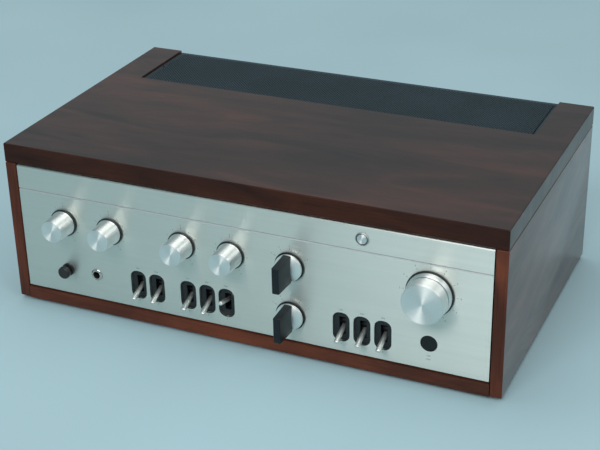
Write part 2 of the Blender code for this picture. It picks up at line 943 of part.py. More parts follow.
def panel_fitting(name, place, height, look, flange, barrel, bore, body):
    # Each pair holds a radius and a thickness or depth behind the fascia's front
    bm = bmesh.new()
    bore_end = fascia_front + bore[1]
    flange_back = fascia_front - gap
    profile = [
        (0.0, bore_end),
        (bore[0], bore_end),
        (bore[0], flange_back - flange[1]),
        (flange[0], flange_back - flange[1]),
        (flange[0], flange_back),
        (barrel, flange_back),
        (barrel, body_front),
        (body[0], body_front),
        (body[0], body_front + body[1]),
        (0.0, body_front + body[1]),
    ]
    add_turned(bm, profile, place, height, small_sides)
    return finish(bm, name, look, smooth=True)


def left_button(height):
    place = outer_tone_place
    bm = bmesh.new()
    face = fascia_front - button_reach
    cap_back = face + button_cap_thickness
    end = body_front + button_stem_depth
    profile = [
        (0.0, face),
        (button_cap_radius - button_cap_chamfer, face),
        (button_cap_radius, face + button_cap_chamfer),
        (button_cap_radius, cap_back),
        (button_neck_radius, cap_back),
        (button_neck_radius, end),
        (0.0, end),
    ]
    add_turned(bm, profile, place, height, small_sides)
    look = material("button_black", (0.012, 0.012, 0.013), 0.35)
    finish(bm, "left_button", look, (place, fascia_front, height), smooth=True)
    collar = material("button_collar_black", (0.015, 0.015, 0.016), 0.4)
    depth = body_front - fascia_front + button_body_depth - gap * 2.0
    panel_fitting("left_button_switch", place, height, collar,
                  (button_collar_radius, button_collar_thickness), button_barrel_radius,
                  (button_neck_radius + gap, depth - sheet_thickness),
                  (button_body_radius, button_body_depth))


def phones_jack(height):
    look = material("jack_nickel", (0.7, 0.7, 0.68), 0.25, 1.0)
    panel_fitting("phones_jack", jack_place, height, look,
                  (jack_flange_radius, jack_flange_thickness), jack_barrel_radius,
                  (jack_bore_radius, jack_bore_depth), (jack_body_radius, jack_body_depth))


def power_controls(height):
    bm = bmesh.new()
    front = fascia_front + power_button_recess
    back = front + power_button_thickness
    stem_end = back + power_stem_depth
    profile = [
        (0.0, front),
        (power_button_radius - knob_chamfer, front),
        (power_button_radius, front + knob_chamfer),
        (power_button_radius, back),
        (power_stem_radius, back),
        (power_stem_radius, stem_end),
        (0.0, stem_end),
    ]
    add_turned(bm, profile, volume_place, height, face_sides)
    look = material("power_black", (0.012, 0.012, 0.013), 0.45)
    finish(bm, "power_button", look, (volume_place, fascia_front, height), smooth=True)
    bm = bmesh.new()
    well = back + power_travel + gap
    stem_bore = stem_end + power_travel + gap
    profile = [
        (0.0, stem_bore),
        (power_stem_radius + gap, stem_bore),
        (power_stem_radius + gap, well),
        (power_button_radius + gap, well),
        (power_button_radius + gap, body_front),
        (power_body_radius, body_front),
        (power_body_radius, body_front + power_body_depth),
        (0.0, body_front + power_body_depth),
    ]
    add_turned(bm, profile, volume_place, height, core_sides)
    finish(bm, "power_switch", material("power_switch_body", (0.05, 0.05, 0.05), 0.5),
           smooth=True)


def pilot_lamp(height):
    bezel = material("pilot_bezel_dark", (0.05, 0.05, 0.05), 0.3, 0.8)
    depth = pilot_lens_depth + gap
    panel_fitting("pilot_bezel", pilot_place, height, bezel,
                  (pilot_flange_radius, pilot_flange_thickness), pilot_barrel_radius,
                  (pilot_lens_radius + gap, depth), (pilot_barrel_radius + gap, pilot_body_depth))
    bm = bmesh.new()
    front = fascia_front - pilot_lens_reach
    shoulder = fascia_front - pilot_flange_thickness / 2.0
    profile = [
        (0.0, front),
        (pilot_lens_radius / 2.0, front + (shoulder - front) / 4.0),
        (pilot_lens_radius, shoulder),
        (pilot_lens_radius, fascia_front + pilot_lens_depth),
        (0.0, fascia_front + pilot_lens_depth),
    ]
    add_turned(bm, profile, pilot_place, height, small_sides)
    finish(bm, "pilot_lens", material("pilot_lens_grey", (0.6, 0.62, 0.62), 0.15), smooth=True)


# Chassis

def chassis_tray():
    bm = bmesh.new()
    outer = half_chassis
    inner = outer - sheet_thickness
    high = tray_bottom + tray_side_height
    outline = [
        (-outer, tray_bottom),
        (outer, tray_bottom),
        (outer, high),
        (inner, high),
        (inner, tray_top),
        (-inner, tray_top),
        (-inner, high),
        (-outer, high),
    ]
    add_prism(bm, outline, "Y", body_front, rear_front - gap)
    return finish(bm, "chassis_tray", material("tray_zinc", (0.5, 0.5, 0.46), 0.4, 1.0))


def jack_field():
    # Middle, half width and half height of the window behind the input jacks
    half_width = jack_column_pitch * jack_columns / 2.0
    return half_width, jack_line_pitch / 2.0 + jack_shell_radius + field_margin / 2.0


def terminal_field():
    half_width = terminal_pitch * terminal_columns / 2.0
    return half_width, terminal_line_pitch / 2.0 + terminal_radius + field_margin / 2.0


def rear_panel():
    bm = bmesh.new()
    top = seam_height - plate_margin
    add_block(bm, (-half_chassis, rear_front, tray_bottom), (half_chassis, rear_face, top))
    panel = finish(bm, "rear_panel", material("rear_paint", (0.06, 0.06, 0.06), 0.5))
    cuts = bmesh.new()
    front = rear_front - overrun
    back = rear_face + overrun
    for place, height, field in ((jack_field_place, jack_field_height, jack_field()),
                                 (terminal_field_place, terminal_field_height,
                                  terminal_field())):
        add_block(cuts, (place - field[0], front, height - field[1]),
                  (place + field[0], back, height + field[1]))
    half = outlet_width / 2.0 + gap
    tall = outlet_block_height / 2.0 + gap
    add_block(cuts, (outlet_place - half, front, outlet_height - tall),
              (outlet_place + half, back, outlet_height + tall))
    add_column(cuts, gland_place, gland_height, gland_radius + gap, front, back, core_sides)
    combine(panel, cuts, "DIFFERENCE")
    return panel


def input_jacks():
    # A strip behind the panel whose shells stand out through the window
    bm = bmesh.new()
    half_width, half_height = jack_field()
    back = rear_front - gap
    add_block(bm, (jack_field_place - half_width - field_margin,
                   back - jack_strip_thickness, jack_field_height - half_height - field_margin),
              (jack_field_place + half_width + field_margin, back,
               jack_field_height + half_height + field_margin))
    strip = finish(bm, "input_jacks", material("jack_strip", (0.24, 0.14, 0.07), 0.5))
    shells = bmesh.new()
    end = rear_face + jack_shell_reach
    first = jack_field_place - jack_column_pitch * (jack_columns - 1) / 2.0
    start = back - jack_strip_thickness / 2.0
    for line in (-1, 1):
        height = jack_field_height + line * jack_line_pitch / 2.0
        for number in range(jack_columns):
            place = first + jack_column_pitch * number
            shell = [
                (0.0, start),
                (jack_shell_radius, start),
                (jack_shell_radius, end),
                (jack_shell_bore, end),
                (jack_shell_bore, rear_face),
                (0.0, rear_face),
            ]
            add_turned(shells, shell, place, height, fine_sides)
    combine(strip, shells, "UNION")
    return strip


def speaker_terminals():
    bm = bmesh.new()
    half_width, half_height = terminal_field()
    back = rear_front - gap
    middle = terminal_field_place
    add_block(bm, (middle - half_width - field_margin, back - jack_strip_thickness,
                   terminal_field_height - half_height - field_margin),
              (middle + half_width + field_margin, back,
               terminal_field_height + half_height + field_margin))
    strip = finish(bm, "speaker_terminals", material("terminal_black", (0.02, 0.02, 0.02), 0.4))
    posts = bmesh.new()
    start = back - jack_strip_thickness / 2.0
    shoulder = rear_face + terminal_collar
    end = rear_face + terminal_reach
    first = middle - terminal_pitch * (terminal_columns - 1) / 2.0
    for line in (-1, 1):
        height = terminal_field_height + line * terminal_line_pitch / 2.0
        for number in range(terminal_columns):
            place = first + terminal_pitch * number
            post = [
                (0.0, start),
                (terminal_collar_radius, start),
                (terminal_collar_radius, shoulder),
                (terminal_radius, shoulder),
                (terminal_radius, end),
                (0.0, end),
            ]
            add_turned(posts, post, place, height, fine_sides)
    combine(strip, posts, "UNION")
    return strip


def outlet_block():
    # Two receptacles in one moulding with a rim outside the panel
    bm = bmesh.new()
    half = outlet_width / 2.0
    tall = outlet_block_height / 2.0
    add_block(bm, (outlet_place - half, rear_face - outlet_depth, outlet_height - tall),
              (outlet_place + half, rear_face + outlet_face, outlet_height + tall))
    block = finish(bm, "outlet_block", material("outlet_black", (0.02, 0.02, 0.02), 0.4))
    rim = bmesh.new()
    lap = outlet_face
    add_block(rim, (outlet_place - half - lap, rear_face + gap, outlet_height - tall - lap),
              (outlet_place + half + lap, rear_face + outlet_face / 2.0,
               outlet_height + tall + lap))
    combine(block, rim, "UNION")
    blades = bmesh.new()
    back = rear_face + outlet_face
    for side in (-1, 1):
        middle = outlet_place + side * outlet_pitch / 2.0
        for blade in (-1, 1):
            place = middle + blade * blade_slot_pitch / 2.0
            add_block(blades, (place - blade_slot_width / 2.0, back - blade_slot_depth,
                               outlet_height - blade_slot_height / 2.0),
                      (place + blade_slot_width / 2.0, back + overrun,
                       outlet_height + blade_slot_height / 2.0))
    combine(block, blades, "DIFFERENCE")
    return block


def cord_gland():
    bm = bmesh.new()
    inside = rear_front - gap
    profile = [
        (gland_bore_radius, inside - gland_flange_thickness),
        (gland_radius + gland_flange_thickness, inside - gland_flange_thickness),
        (gland_radius + gland_flange_thickness, inside),
        (gland_radius, inside),
        (gland_radius, rear_face + gap),
        (gland_flange_radius, rear_face + gap),
        (gland_flange_radius, rear_face + gap + gland_flange_thickness),
        (gland_radius, rear_face + gland_reach),
        (gland_bore_radius, rear_face + gland_reach),
    ]
    add_turned(bm, profile, gland_place, gland_height, core_sides, closed=True)
    return finish(bm, "cord_gland", material("gland_rubber", (0.02, 0.02, 0.02), 0.7),
                  smooth=True)


# Inside the chassis

def transformer():
    bm = bmesh.new()
    place = transformer_place
    middle = case_front + case_depth * transformer_middle_share
    half_width = transformer_width / 2.0
    half_length = transformer_length / 2.0
    top = floor_level + transformer_height
    add_block(bm, (place - half_width, middle - half_length, floor_level),
              (place + half_width, middle + half_length, top))
    bevel_all(bm, case_edge_bevel)
    core = finish(bm, "transformer", material("transformer_dark", (0.04, 0.04, 0.045), 0.5, 0.3))
    extras = bmesh.new()
    add_block(extras, (place - bobbin_width / 2.0, middle - half_length - bobbin_stand_out,
                       floor_level + bobbin_margin),
              (place + bobbin_width / 2.0, middle + half_length + bobbin_stand_out,
               top - bobbin_margin))
    add_block(extras, (place - half_width - flange_width, middle - half_length / 2.0,
                       floor_level),
              (place + half_width + flange_width, middle + half_length / 2.0,
               floor_level + sheet_thickness * 2.0))
    combine(core, extras, "UNION")
    return core


def filter_capacitors():
    bm = bmesh.new()
    middle = case_front + case_depth * capacitor_middle_share
    add_block(bm, (capacitor_place - capacitor_reach, middle - capacitor_reach, floor_level),
              (capacitor_last + capacitor_reach, middle + capacitor_reach,
               floor_level + clamp_height))
    clamp = finish(bm, "filter_capacitors", material("capacitor_blue", (0.05, 0.08, 0.16), 0.4))
    cans = bmesh.new()
    for place in (capacitor_place, capacitor_last):
        add_post(cans, place, middle, capacitor_radius, floor_level + clamp_height / 2.0,
                 floor_level + capacitor_height, small_sides)
    combine(clamp, cans, "UNION")
    return clamp


def heat_sink():
    # Fins in a row on one base, open upwards below the vent
    bm = bmesh.new()
    root = sink_front + sink_base
    end = root + sink_fin_depth
    step = (sink_length - sink_fin_thickness) / (sink_fin_count - 1)
    outline = [(sink_left, sink_front), (sink_left + sink_length, sink_front)]
    for number in reversed(range(sink_fin_count)):
        left = sink_left + step * number
        right = left + sink_fin_thickness
        outline += [(right, root), (right, end), (left, end), (left, root)]
    outline = [point for index, point in enumerate(outline)
               if index not in (2, len(outline) - 1)]
    add_prism(bm, outline, "Z", floor_level, floor_level + sink_height)
    return finish(bm, "heat_sink", material("sink_anodised", (0.03, 0.03, 0.03), 0.5, 0.7))


def main_board():
    bm = bmesh.new()
    low = floor_level + board_lift
    high = low + board_thickness
    back = board_front + board_depth
    add_block(bm, (board_left, board_front, low), (board_right, back, high))
    board = finish(bm, "main_board", material("board_phenolic", (0.26, 0.17, 0.07), 0.5))
    extras = bmesh.new()
    for place in (board_left + standoff_inset, board_right - standoff_inset):
        for depth in (board_front + standoff_inset, back - standoff_inset):
            add_post(extras, place, depth, standoff_radius, floor_level,
                     low + board_thickness / 2.0, fine_sides)
    for share in board_part_shares:
        middle = board_left + board_length * share
        add_block(extras, (middle - board_part_width / 2.0, board_front + board_depth / 3.0,
                           low + board_thickness / 2.0),
                  (middle + board_part_width / 2.0, board_front + board_depth / 2.0,
                   high + board_part_height))
    combine(board, extras, "UNION")
    return board


def build():
    clear_scene()
    top_board()
    side_board("side_board_left", -1)
    side_board("side_board_right", 1)
    bottom_board()
    vent_grille()
    for end, depth in (("front", case_front + foot_inset), ("rear", case_back - foot_inset)):
        foot(f"foot_{end}_left", -1, depth)
        foot(f"foot_{end}_right", 1, depth)
    fascia()
    control_plate()
    tone_controls()
    selector_controls()
    volume_knob(upper_row)
    balance_ring(upper_row)
    balance_skirt(upper_row)
    volume_pot(upper_row)
    lever_controls()
    left_button(lower_row)
    phones_jack(lower_row)
    power_controls(lower_row)
    pilot_lamp(pilot_row)
    chassis_tray()
    rear_panel()
    input_jacks()
    speaker_terminals()
    outlet_block()
    cord_gland()
    transformer()
    filter_capacitors()
    heat_sink()
    main_board()


build()
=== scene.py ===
import json
import math

import bmesh
import bpy
from mathutils import Matrix, Vector


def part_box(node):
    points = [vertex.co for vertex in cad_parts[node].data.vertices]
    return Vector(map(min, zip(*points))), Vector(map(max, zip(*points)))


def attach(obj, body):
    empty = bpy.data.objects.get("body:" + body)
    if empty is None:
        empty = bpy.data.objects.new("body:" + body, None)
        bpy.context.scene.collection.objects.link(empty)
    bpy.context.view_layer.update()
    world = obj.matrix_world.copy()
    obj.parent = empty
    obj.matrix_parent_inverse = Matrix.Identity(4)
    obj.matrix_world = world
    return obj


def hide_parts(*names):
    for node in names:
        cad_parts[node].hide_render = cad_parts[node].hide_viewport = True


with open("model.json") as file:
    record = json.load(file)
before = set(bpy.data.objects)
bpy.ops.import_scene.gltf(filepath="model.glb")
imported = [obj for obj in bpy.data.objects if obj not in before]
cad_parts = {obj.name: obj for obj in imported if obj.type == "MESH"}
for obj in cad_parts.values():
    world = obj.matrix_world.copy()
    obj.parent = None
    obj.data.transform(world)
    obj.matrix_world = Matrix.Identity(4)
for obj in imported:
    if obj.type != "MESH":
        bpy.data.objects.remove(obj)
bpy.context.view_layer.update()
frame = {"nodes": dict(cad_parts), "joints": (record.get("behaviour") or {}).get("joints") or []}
nodes = frame["nodes"]


def middleOf(node):
    low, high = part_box(node)
    return (low + high) / 2.0


fasciaLow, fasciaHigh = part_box("fascia")
fasciaFront = fasciaLow.y
caseLow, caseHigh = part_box("top_board")
caseFront = caseLow.y
print("frame loaded:", len(nodes), "nodes")


# small helpers for meshes

weld = 0.000004


def makePiece(bm, name, finishes, body, stands=(), angle=35.0, smooth=True):
    bmesh.ops.remove_doubles(bm, verts=bm.verts, dist=weld)
    bmesh.ops.recalc_face_normals(bm, faces=bm.faces)
    mesh = bpy.data.meshes.new(name)
    bm.to_mesh(mesh)
    bm.free()
    piece = bpy.data.objects.new(name, mesh)
    bpy.context.scene.collection.objects.link(piece)
    for finish in finishes:
        mesh.materials.append(finish)
    if smooth:
        mesh.shade_smooth()
        mesh.set_sharp_from_angle(angle=math.radians(angle))
    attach(piece, body)
    if stands:
        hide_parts(*stands)
    return piece


def spinProfile(bm, verts, middle, axis, steps):
    edges = [bm.edges.new(pair) for pair in zip(verts, verts[1:])]
    bmesh.ops.spin(bm, geom=verts + edges, cent=middle, axis=axis, angle=math.tau, steps=steps,
                   use_merge=True)
    bmesh.ops.remove_doubles(bm, verts=bm.verts, dist=weld)


def turn(bm, profile, x, z, steps):
    # profile of (radius, y) points turned about an axis along Y
    verts = [bm.verts.new((x + radius, y, z)) for radius, y in profile]
    spinProfile(bm, verts, (x, 0.0, z), (0.0, 1.0, 0.0), steps)


def turnUp(bm, profile, x, y, steps):
    # the same about an axis along Z, from points of (radius, z)
    verts = [bm.verts.new((x + radius, y, z)) for radius, z in profile]
    spinProfile(bm, verts, (x, y, 0.0), (0.0, 0.0, 1.0), steps)


def awayFrom(face, x, z):
    # how far the middle of a face lies from the axis along Y through (x, z)
    spot = face.calc_center_median()
    return Vector((spot.x - x, 0.0, spot.z - z))


def addBox(bm, low, high, soft=0.0):
    size = [b - a for a, b in zip(low, high)]
    middle = [(a + b) / 2.0 for a, b in zip(low, high)]
    matrix = Matrix.Translation(middle) @ Matrix.Diagonal((*size, 1.0))
    verts = bmesh.ops.create_cube(bm, size=1.0, matrix=matrix)["verts"]
    if soft:
        soften(bm, list({edge for vert in verts for edge in vert.link_edges}), soft)
    return verts


def soften(bm, edges, width, segments=2):
    bmesh.ops.bevel(bm, geom=edges, offset=width, offset_type="OFFSET", segments=segments,
                    profile=0.5, affect="EDGES", material=-1, clamp_overlap=True)


def softenSharp(bm, width, degrees, segments=2):
    sharp = [edge for edge in bm.edges
             if len(edge.link_faces) == 2 and edge.calc_face_angle(0.0) > math.radians(degrees)]
    soften(bm, sharp, width, segments)


def cutAt(bm, point, normal, near=0.000001, outer=False):
    bmesh.ops.bisect_plane(bm, geom=bm.verts[:] + bm.edges[:] + bm.faces[:], dist=near,
                           plane_co=point, plane_no=normal, clear_outer=outer)


def copyOf(node):
    # a merged copy of a CAD node's loose triangles, with its flat faces joined up again
    bm = bmesh.new()
    bm.from_mesh(nodes[node].data)
    bmesh.ops.remove_doubles(bm, verts=bm.verts, dist=weld)
    bmesh.ops.dissolve_limit(bm, angle_limit=math.radians(0.5), verts=bm.verts, edges=bm.edges)
    return bm


# materials, each from its own nodes

class NodeTree:
    # a short way to add and wire nodes
    def __init__(self, name):
        self.material = bpy.data.materials.new(name)
        self.material.use_nodes = True
        self.tree = self.material.node_tree
        self.shader = self.tree.nodes["Principled BSDF"]
        self.count = 0

    def add(self, kind, inputs=None, **settings):
        node = self.tree.nodes.new(kind)
        self.count += 1
        node.location = (-220 * (self.count % 8) - 200, -260 * (self.count // 8))
        for key, value in settings.items():
            setattr(node, key, value)
        for key, value in (inputs or {}).items():
            if isinstance(value, bpy.types.NodeSocket):
                self.tree.links.new(value, node.inputs[key])
            else:
                node.inputs[key].default_value = value
        return node

    def mapped(self, scale=(1.0, 1.0, 1.0), place=(0.0, 0.0, 0.0)):
        coords = self.add("ShaderNodeTexCoord")
        shift = self.add("ShaderNodeVectorMath", {0: coords.outputs["Object"], 1: place},
                         operation="SUBTRACT")
        mapping = self.add("ShaderNodeMapping", {"Vector": shift.outputs[0], "Scale": scale})
        return mapping.outputs["Vector"]

    def noise(self, vector, scale, detail=3.0, rough=0.5, distortion=0.0, dimensions="3D"):
        key = "W" if dimensions == "1D" else "Vector"
        made = self.add("ShaderNodeTexNoise", noise_dimensions=dimensions)
        self.tree.links.new(vector, made.inputs[key])
        for name, value in (("Scale", scale), ("Detail", detail), ("Roughness", rough),
                            ("Distortion", distortion)):
            made.inputs[name].default_value = value
        return made.outputs[0]

    def ramp(self, value, stops):
        made = self.add("ShaderNodeValToRGB")
        points = made.color_ramp.elements
        while len(points) < len(stops):
            points.new(0.5)
        for point, (at, colour) in zip(points, stops):
            point.position = at
            point.color = (*colour, 1.0)
        self.tree.links.new(value, made.inputs["Fac"])
        return made.outputs["Color"]

    def tones(self, value, colour, dark, pale):
        # from a darker to a paler tone of one colour over the middle of a noise
        return self.ramp(value, [(0.3, shaded(colour, dark)), (0.7, shaded(colour, pale))])

    def range(self, value, low, high, fromLow=0.3, fromHigh=0.7):
        made = self.add("ShaderNodeMapRange", {"Value": value, "From Min": fromLow,
                                               "From Max": fromHigh, "To Min": low,
                                               "To Max": high})
        return made.outputs["Result"]

    def mix(self, factor, first, second, blend="MIX"):
        made = self.add("ShaderNodeMix", data_type="RGBA", blend_type=blend)
        for key, value in ((0, factor), (6, first), (7, second)):
            if isinstance(value, bpy.types.NodeSocket):
                self.tree.links.new(value, made.inputs[key])
            elif key and len(value) == 3:
                made.inputs[key].default_value = (*value, 1.0)
            else:
                made.inputs[key].default_value = value
        return made.outputs[2]

    def maths(self, operation, first, second):
        made = self.add("ShaderNodeMath", {0: first, 1: second}, operation=operation)
        return made.outputs[0]

    def blend(self, first, share, second, rest):
        return self.maths("ADD", self.maths("MULTIPLY", first, share),
                          self.maths("MULTIPLY", second, rest))

    def bump(self, height, strength, distance, under=None):
        made = self.add("ShaderNodeBump", {"Height": height, "Strength": strength,
                                           "Distance": distance})
        if under is not None:
            self.tree.links.new(under, made.inputs["Normal"])
        return made.outputs["Normal"]

    def feed(self, **sockets):
        for name, value in sockets.items():
            socket = self.shader.inputs[name.replace("_", " ")]
            if isinstance(value, bpy.types.NodeSocket):
                self.tree.links.new(value, socket)
            else:
                socket.default_value = value


def srgb(*levels):
    made = []
    for level in levels:
        share = level / 255.0
        made.append(share / 12.92 if share <= 0.04045 else ((share + 0.055) / 1.055) ** 2.4)
    return tuple(made)


def shaded(colour, factor):
    return tuple(min(part * factor, 1.0) for part in colour)


def drawnOut(across, along, axis):
    # the scale of a pattern that is drawn out along one axis
    scale = [across, across, across]
    scale["XYZ".index(axis)] = along
    return scale


veneerLook = {
    "dark": srgb(33, 17, 12),
    "brown": srgb(47, 25, 18),
    "warm": srgb(60, 32, 22),
    "red": srgb(76, 41, 28),
    "figure": (13.0, 3.4),
    "streaks": (65.0, 17.0),
    "pores": (900.0, 22.0),
    "rough": (0.50, 0.34),
    "coat": 0.55,
    "coatRoughness": 0.14,
    "coatGloss": 1.4,
}


def veneer(name, along, shift=(0.0, 0.0, 0.0), light=1.0, coat=veneerLook["coat"], gloss=1.36):
    # rosewood veneer; the grain runs along one axis and wanders a little
    look = veneerLook
    work = NodeTree(name)
    base = work.mapped(scale=drawnOut(*look["figure"], along), place=shift)
    drift = work.noise(base, 1.0, detail=2.0, rough=0.5)
    bent = work.add("ShaderNodeVectorMath", {0: drift, 1: (1.5, 1.5, 1.5)}, operation="MULTIPLY")
    carried = work.add("ShaderNodeVectorMath", {0: base, 1: bent.outputs[0]}, operation="ADD")
    bands = work.noise(carried.outputs[0], 1.3, detail=5.0, rough=0.55, distortion=1.1)
    streaks = work.noise(work.mapped(scale=drawnOut(*look["streaks"], along), place=shift), 1.0,
                         detail=5.0, rough=0.65)
    figureLevel = work.blend(bands, 0.76, streaks, 0.24)
    colour = work.ramp(figureLevel, [(0.30, look["dark"]), (0.45, look["brown"]),
                                     (0.58, look["warm"]), (0.74, look["red"])])
    pores = work.noise(work.mapped(scale=drawnOut(*look["pores"], along), place=shift), 1.0,
                       detail=2.0, rough=0.5)
    poreLevel = work.ramp(pores, [(0.30, (0.55, 0.55, 0.55)), (0.46, (1.0, 1.0, 1.0))])
    colour = work.mix(0.6, colour, poreLevel, "MULTIPLY")
    broad = work.noise(work.mapped(scale=(5.0, 5.0, 5.0), place=shift), 1.0, detail=1.0)
    # painted light: this broad random tone is scaled by the light factor, a brightness set per case
    # face for how brightly that face is lit
    tintAndPaintedLight = work.ramp(broad, [(0.3, (0.72 * light, 0.74 * light, 0.78 * light)),
                             (0.7, (1.12 * light, 1.0 * light, 0.92 * light))])
    colour = work.mix(1.0, colour, tintAndPaintedLight, "MULTIPLY")
    rough = work.range(figureLevel, *look["rough"])
    skin = work.noise(work.mapped(scale=(60.0, 60.0, 60.0)), 1.0, detail=2.0)
    normal = work.bump(skin, 0.05, 0.0004)
    normal = work.bump(pores, 0.08, 0.0001, under=normal)
    work.feed(Base_Color=colour, Roughness=rough, Normal=normal, Coat_Weight=coat,
              Coat_Roughness=look["coatRoughness"], Coat_IOR=look["coatGloss"], IOR=gloss)
    return work.material


def brushedAluminium(name, colour, rough, along="X", strength=0.86):
    # lines along one axis; the highlight is drawn out across them
    work = NodeTree(name)
    hair = work.noise(work.mapped(scale=drawnOut(2600.0, 11.0, along)), 1.0, detail=3.0, rough=0.6)
    bands = work.noise(work.mapped(scale=drawnOut(260.0, 3.0, along)), 1.0, detail=2.0)
    level = work.blend(hair, 0.6, bands, 0.4)
    shade = work.tones(level, colour, 0.965, 1.03)
    haze = work.noise(work.mapped(scale=(14.0, 14.0, 14.0)), 1.0, detail=3.0)
    shade = work.mix(0.10, shade, work.ramp(haze, [(0.35, (0.80, 0.80, 0.80)),
                                                   (0.65, (1.0, 1.0, 1.0))]), "MULTIPLY")
    across = work.add("ShaderNodeCombineXYZ", {"X": 0.0, "Y": 0.0, "Z": 1.0})
    work.feed(Base_Color=shade, Roughness=work.range(level, *rough), Metallic=1.0,
              Anisotropic=strength, Tangent=across.outputs[0],
              Normal=work.bump(hair, 0.03, 0.00001))
    return work.material


def turnedAluminium(name, middle, rough=(0.48, 0.56), strength=0.90):
    # fine rings about an axis along Y through the middle
    work = NodeTree(name)
    spot = work.mapped(place=(middle.x, 0.0, middle.z))
    parts = work.add("ShaderNodeSeparateXYZ", {"Vector": spot})
    flat = work.add("ShaderNodeCombineXYZ", {"X": parts.outputs["X"], "Z": parts.outputs["Z"]})
    away = work.add("ShaderNodeVectorMath", {0: flat.outputs[0]}, operation="LENGTH")
    run = work.maths("ADD", away.outputs["Value"], parts.outputs["Y"])
    rings = work.noise(run, 5200.0, detail=2.0, rough=0.6, dimensions="1D")
    bands = work.noise(run, 700.0, detail=2.0, rough=0.5, dimensions="1D")
    level = work.blend(rings, 0.6, bands, 0.4)
    shade = work.tones(level, paleMetal, 0.94, 1.04)
    around = work.add("ShaderNodeTangent", direction_type="RADIAL", axis="Y")
    work.feed(Base_Color=shade, Roughness=work.range(level, *rough), Metallic=1.0,
              Anisotropic=strength, Anisotropic_Rotation=0.25, Tangent=around.outputs[0],
              Normal=work.bump(rings, 0.02, 0.00001))
    return work.material


def plastic(name, colour, rough=(0.30, 0.45), grain=3500.0, height=0.00002, coat=0.0, gloss=1.48):
    work = NodeTree(name)
    spots = work.noise(work.mapped(), grain, detail=2.0, rough=0.6)
    cloud = work.noise(work.mapped(), 90.0, detail=3.0)
    work.feed(Base_Color=work.tones(cloud, colour, 0.82, 1.2),
              Roughness=work.range(cloud, *rough), Normal=work.bump(spots, 0.35, height),
              Coat_Weight=coat, IOR=gloss)
    return work.material


def polished(name, colour, rough=(0.06, 0.14)):
    # plated metal with faint scratches
    work = NodeTree(name)
    cloud = work.noise(work.mapped(), 160.0, detail=3.0)
    scratch = work.noise(work.mapped(scale=(4000.0, 700.0, 4000.0)), 1.0, detail=2.0)
    work.feed(Base_Color=work.tones(cloud, colour, 0.93, 1.0),
              Roughness=work.range(cloud, *rough), Metallic=1.0,
              Normal=work.bump(scratch, 0.05, 0.00001))
    return work.material


def paintedSteel(name, colour, rough=(0.38, 0.55), speckle=1500.0, height=0.00004, metallic=0.0):
    work = NodeTree(name)
    peel = work.noise(work.mapped(), speckle, detail=2.0)
    cloud = work.noise(work.mapped(), 22.0, detail=4.0, rough=0.6)
    work.feed(Base_Color=work.tones(cloud, colour, 0.8, 1.15),
              Roughness=work.range(cloud, *rough), Metallic=metallic,
              Normal=work.bump(peel, 0.3, height))
    return work.material


def platedSteel(name, colour):
    # zinc plate with a crystal pattern and rolled streaks
    work = NodeTree(name)
    crystal = work.add("ShaderNodeTexVoronoi", {"Vector": work.mapped(), "Scale": 260.0})
    streak = work.noise(work.mapped(scale=(30.0, 600.0, 600.0)), 1.0, detail=2.0)
    level = work.blend(crystal.outputs["Distance"], 0.4, streak, 0.6)
    shade = work.ramp(level, [(0.25, shaded(colour, 0.75)), (0.7, colour)])
    work.feed(Base_Color=shade, Roughness=work.range(level, 0.28, 0.5, 0.2), Metallic=1.0,
              Normal=work.bump(streak, 0.1, 0.00002))
    return work.material


paleMetal = srgb(244, 244, 240)
leverMetal = polished("leverMetal", (0.86, 0.85, 0.82), rough=(0.38, 0.46))
# painted light: top, front edge band, rails, sides and stiles are lit and shaded copies of one
# veneer, brightened by their light factors
topVeneer = veneer("topVeneer", "X", shift=(0.31, 0.12, 0.05), light=1.15, coat=0.50)
topEdgeVeneer = veneer("topEdgeVeneer", "X", shift=(0.4, 0.3, 0.6), light=1.1, coat=0.15,
                       gloss=1.2)
railVeneer = veneer("railVeneer", "X", shift=(0.9, 0.4, 0.2), light=2.6, coat=0.15, gloss=1.2)
sideVeneer = veneer("sideVeneer", "Y", shift=(0.2, 0.7, 0.33), light=3.0, coat=0.7, gloss=1.45)
stileVeneer = veneer("stileVeneer", "Z", shift=(0.52, 0.1, 0.72), light=2.2, coat=0.15, gloss=1.2)
fasciaMetal = brushedAluminium("fasciaMetal", srgb(232, 234, 226), rough=(0.42, 0.50))
# painted shade: the groove's cut metal is darker to stand for the shade inside the groove
cutMetalPaintedShade = polished("cutMetalPaintedShade", (0.50, 0.52, 0.52), rough=(0.6, 0.7))
blackPlasticAndPaintedShade = plastic("blackPlasticAndPaintedShade", (0.010, 0.011, 0.012))
grainPlastic = plastic("grainPlastic", (0.003, 0.005, 0.005), rough=(0.25, 0.40), grain=700.0,
                       height=0.0016, gloss=1.42)
gripPlastic = plastic("gripPlastic", (0.004, 0.007, 0.010), rough=(0.30, 0.42), gloss=1.38)
nickelPlate = polished("nickelPlate", (0.66, 0.63, 0.58), rough=(0.12, 0.20))
blackPlate = paintedSteel("blackPlate", (0.005, 0.009, 0.012), rough=(0.5, 0.65))
gridPaint = paintedSteel("gridPaint", (0.013, 0.026, 0.034), rough=(0.42, 0.55))
rearPaint = paintedSteel("rearPaint", (0.030, 0.031, 0.032), rough=(0.45, 0.6), speckle=2600.0)
zincSteel = platedSteel("zincSteel", (0.58, 0.58, 0.54))
markPaint = plastic("markPaint", (0.19, 0.22, 0.22), rough=(0.5, 0.6))
footRubber = plastic("footRubber", (0.018, 0.018, 0.018), rough=(0.65, 0.8), grain=900.0,
                     height=0.0001)
socketInsert = plastic("socketInsert", (0.55, 0.54, 0.50), rough=(0.4, 0.5))
boardPhenolic = plastic("boardPhenolic", (0.23, 0.12, 0.045), rough=(0.42, 0.6), grain=700.0)
bezelMetal = polished("bezelMetal", (0.52, 0.54, 0.54), rough=(0.5, 0.6))
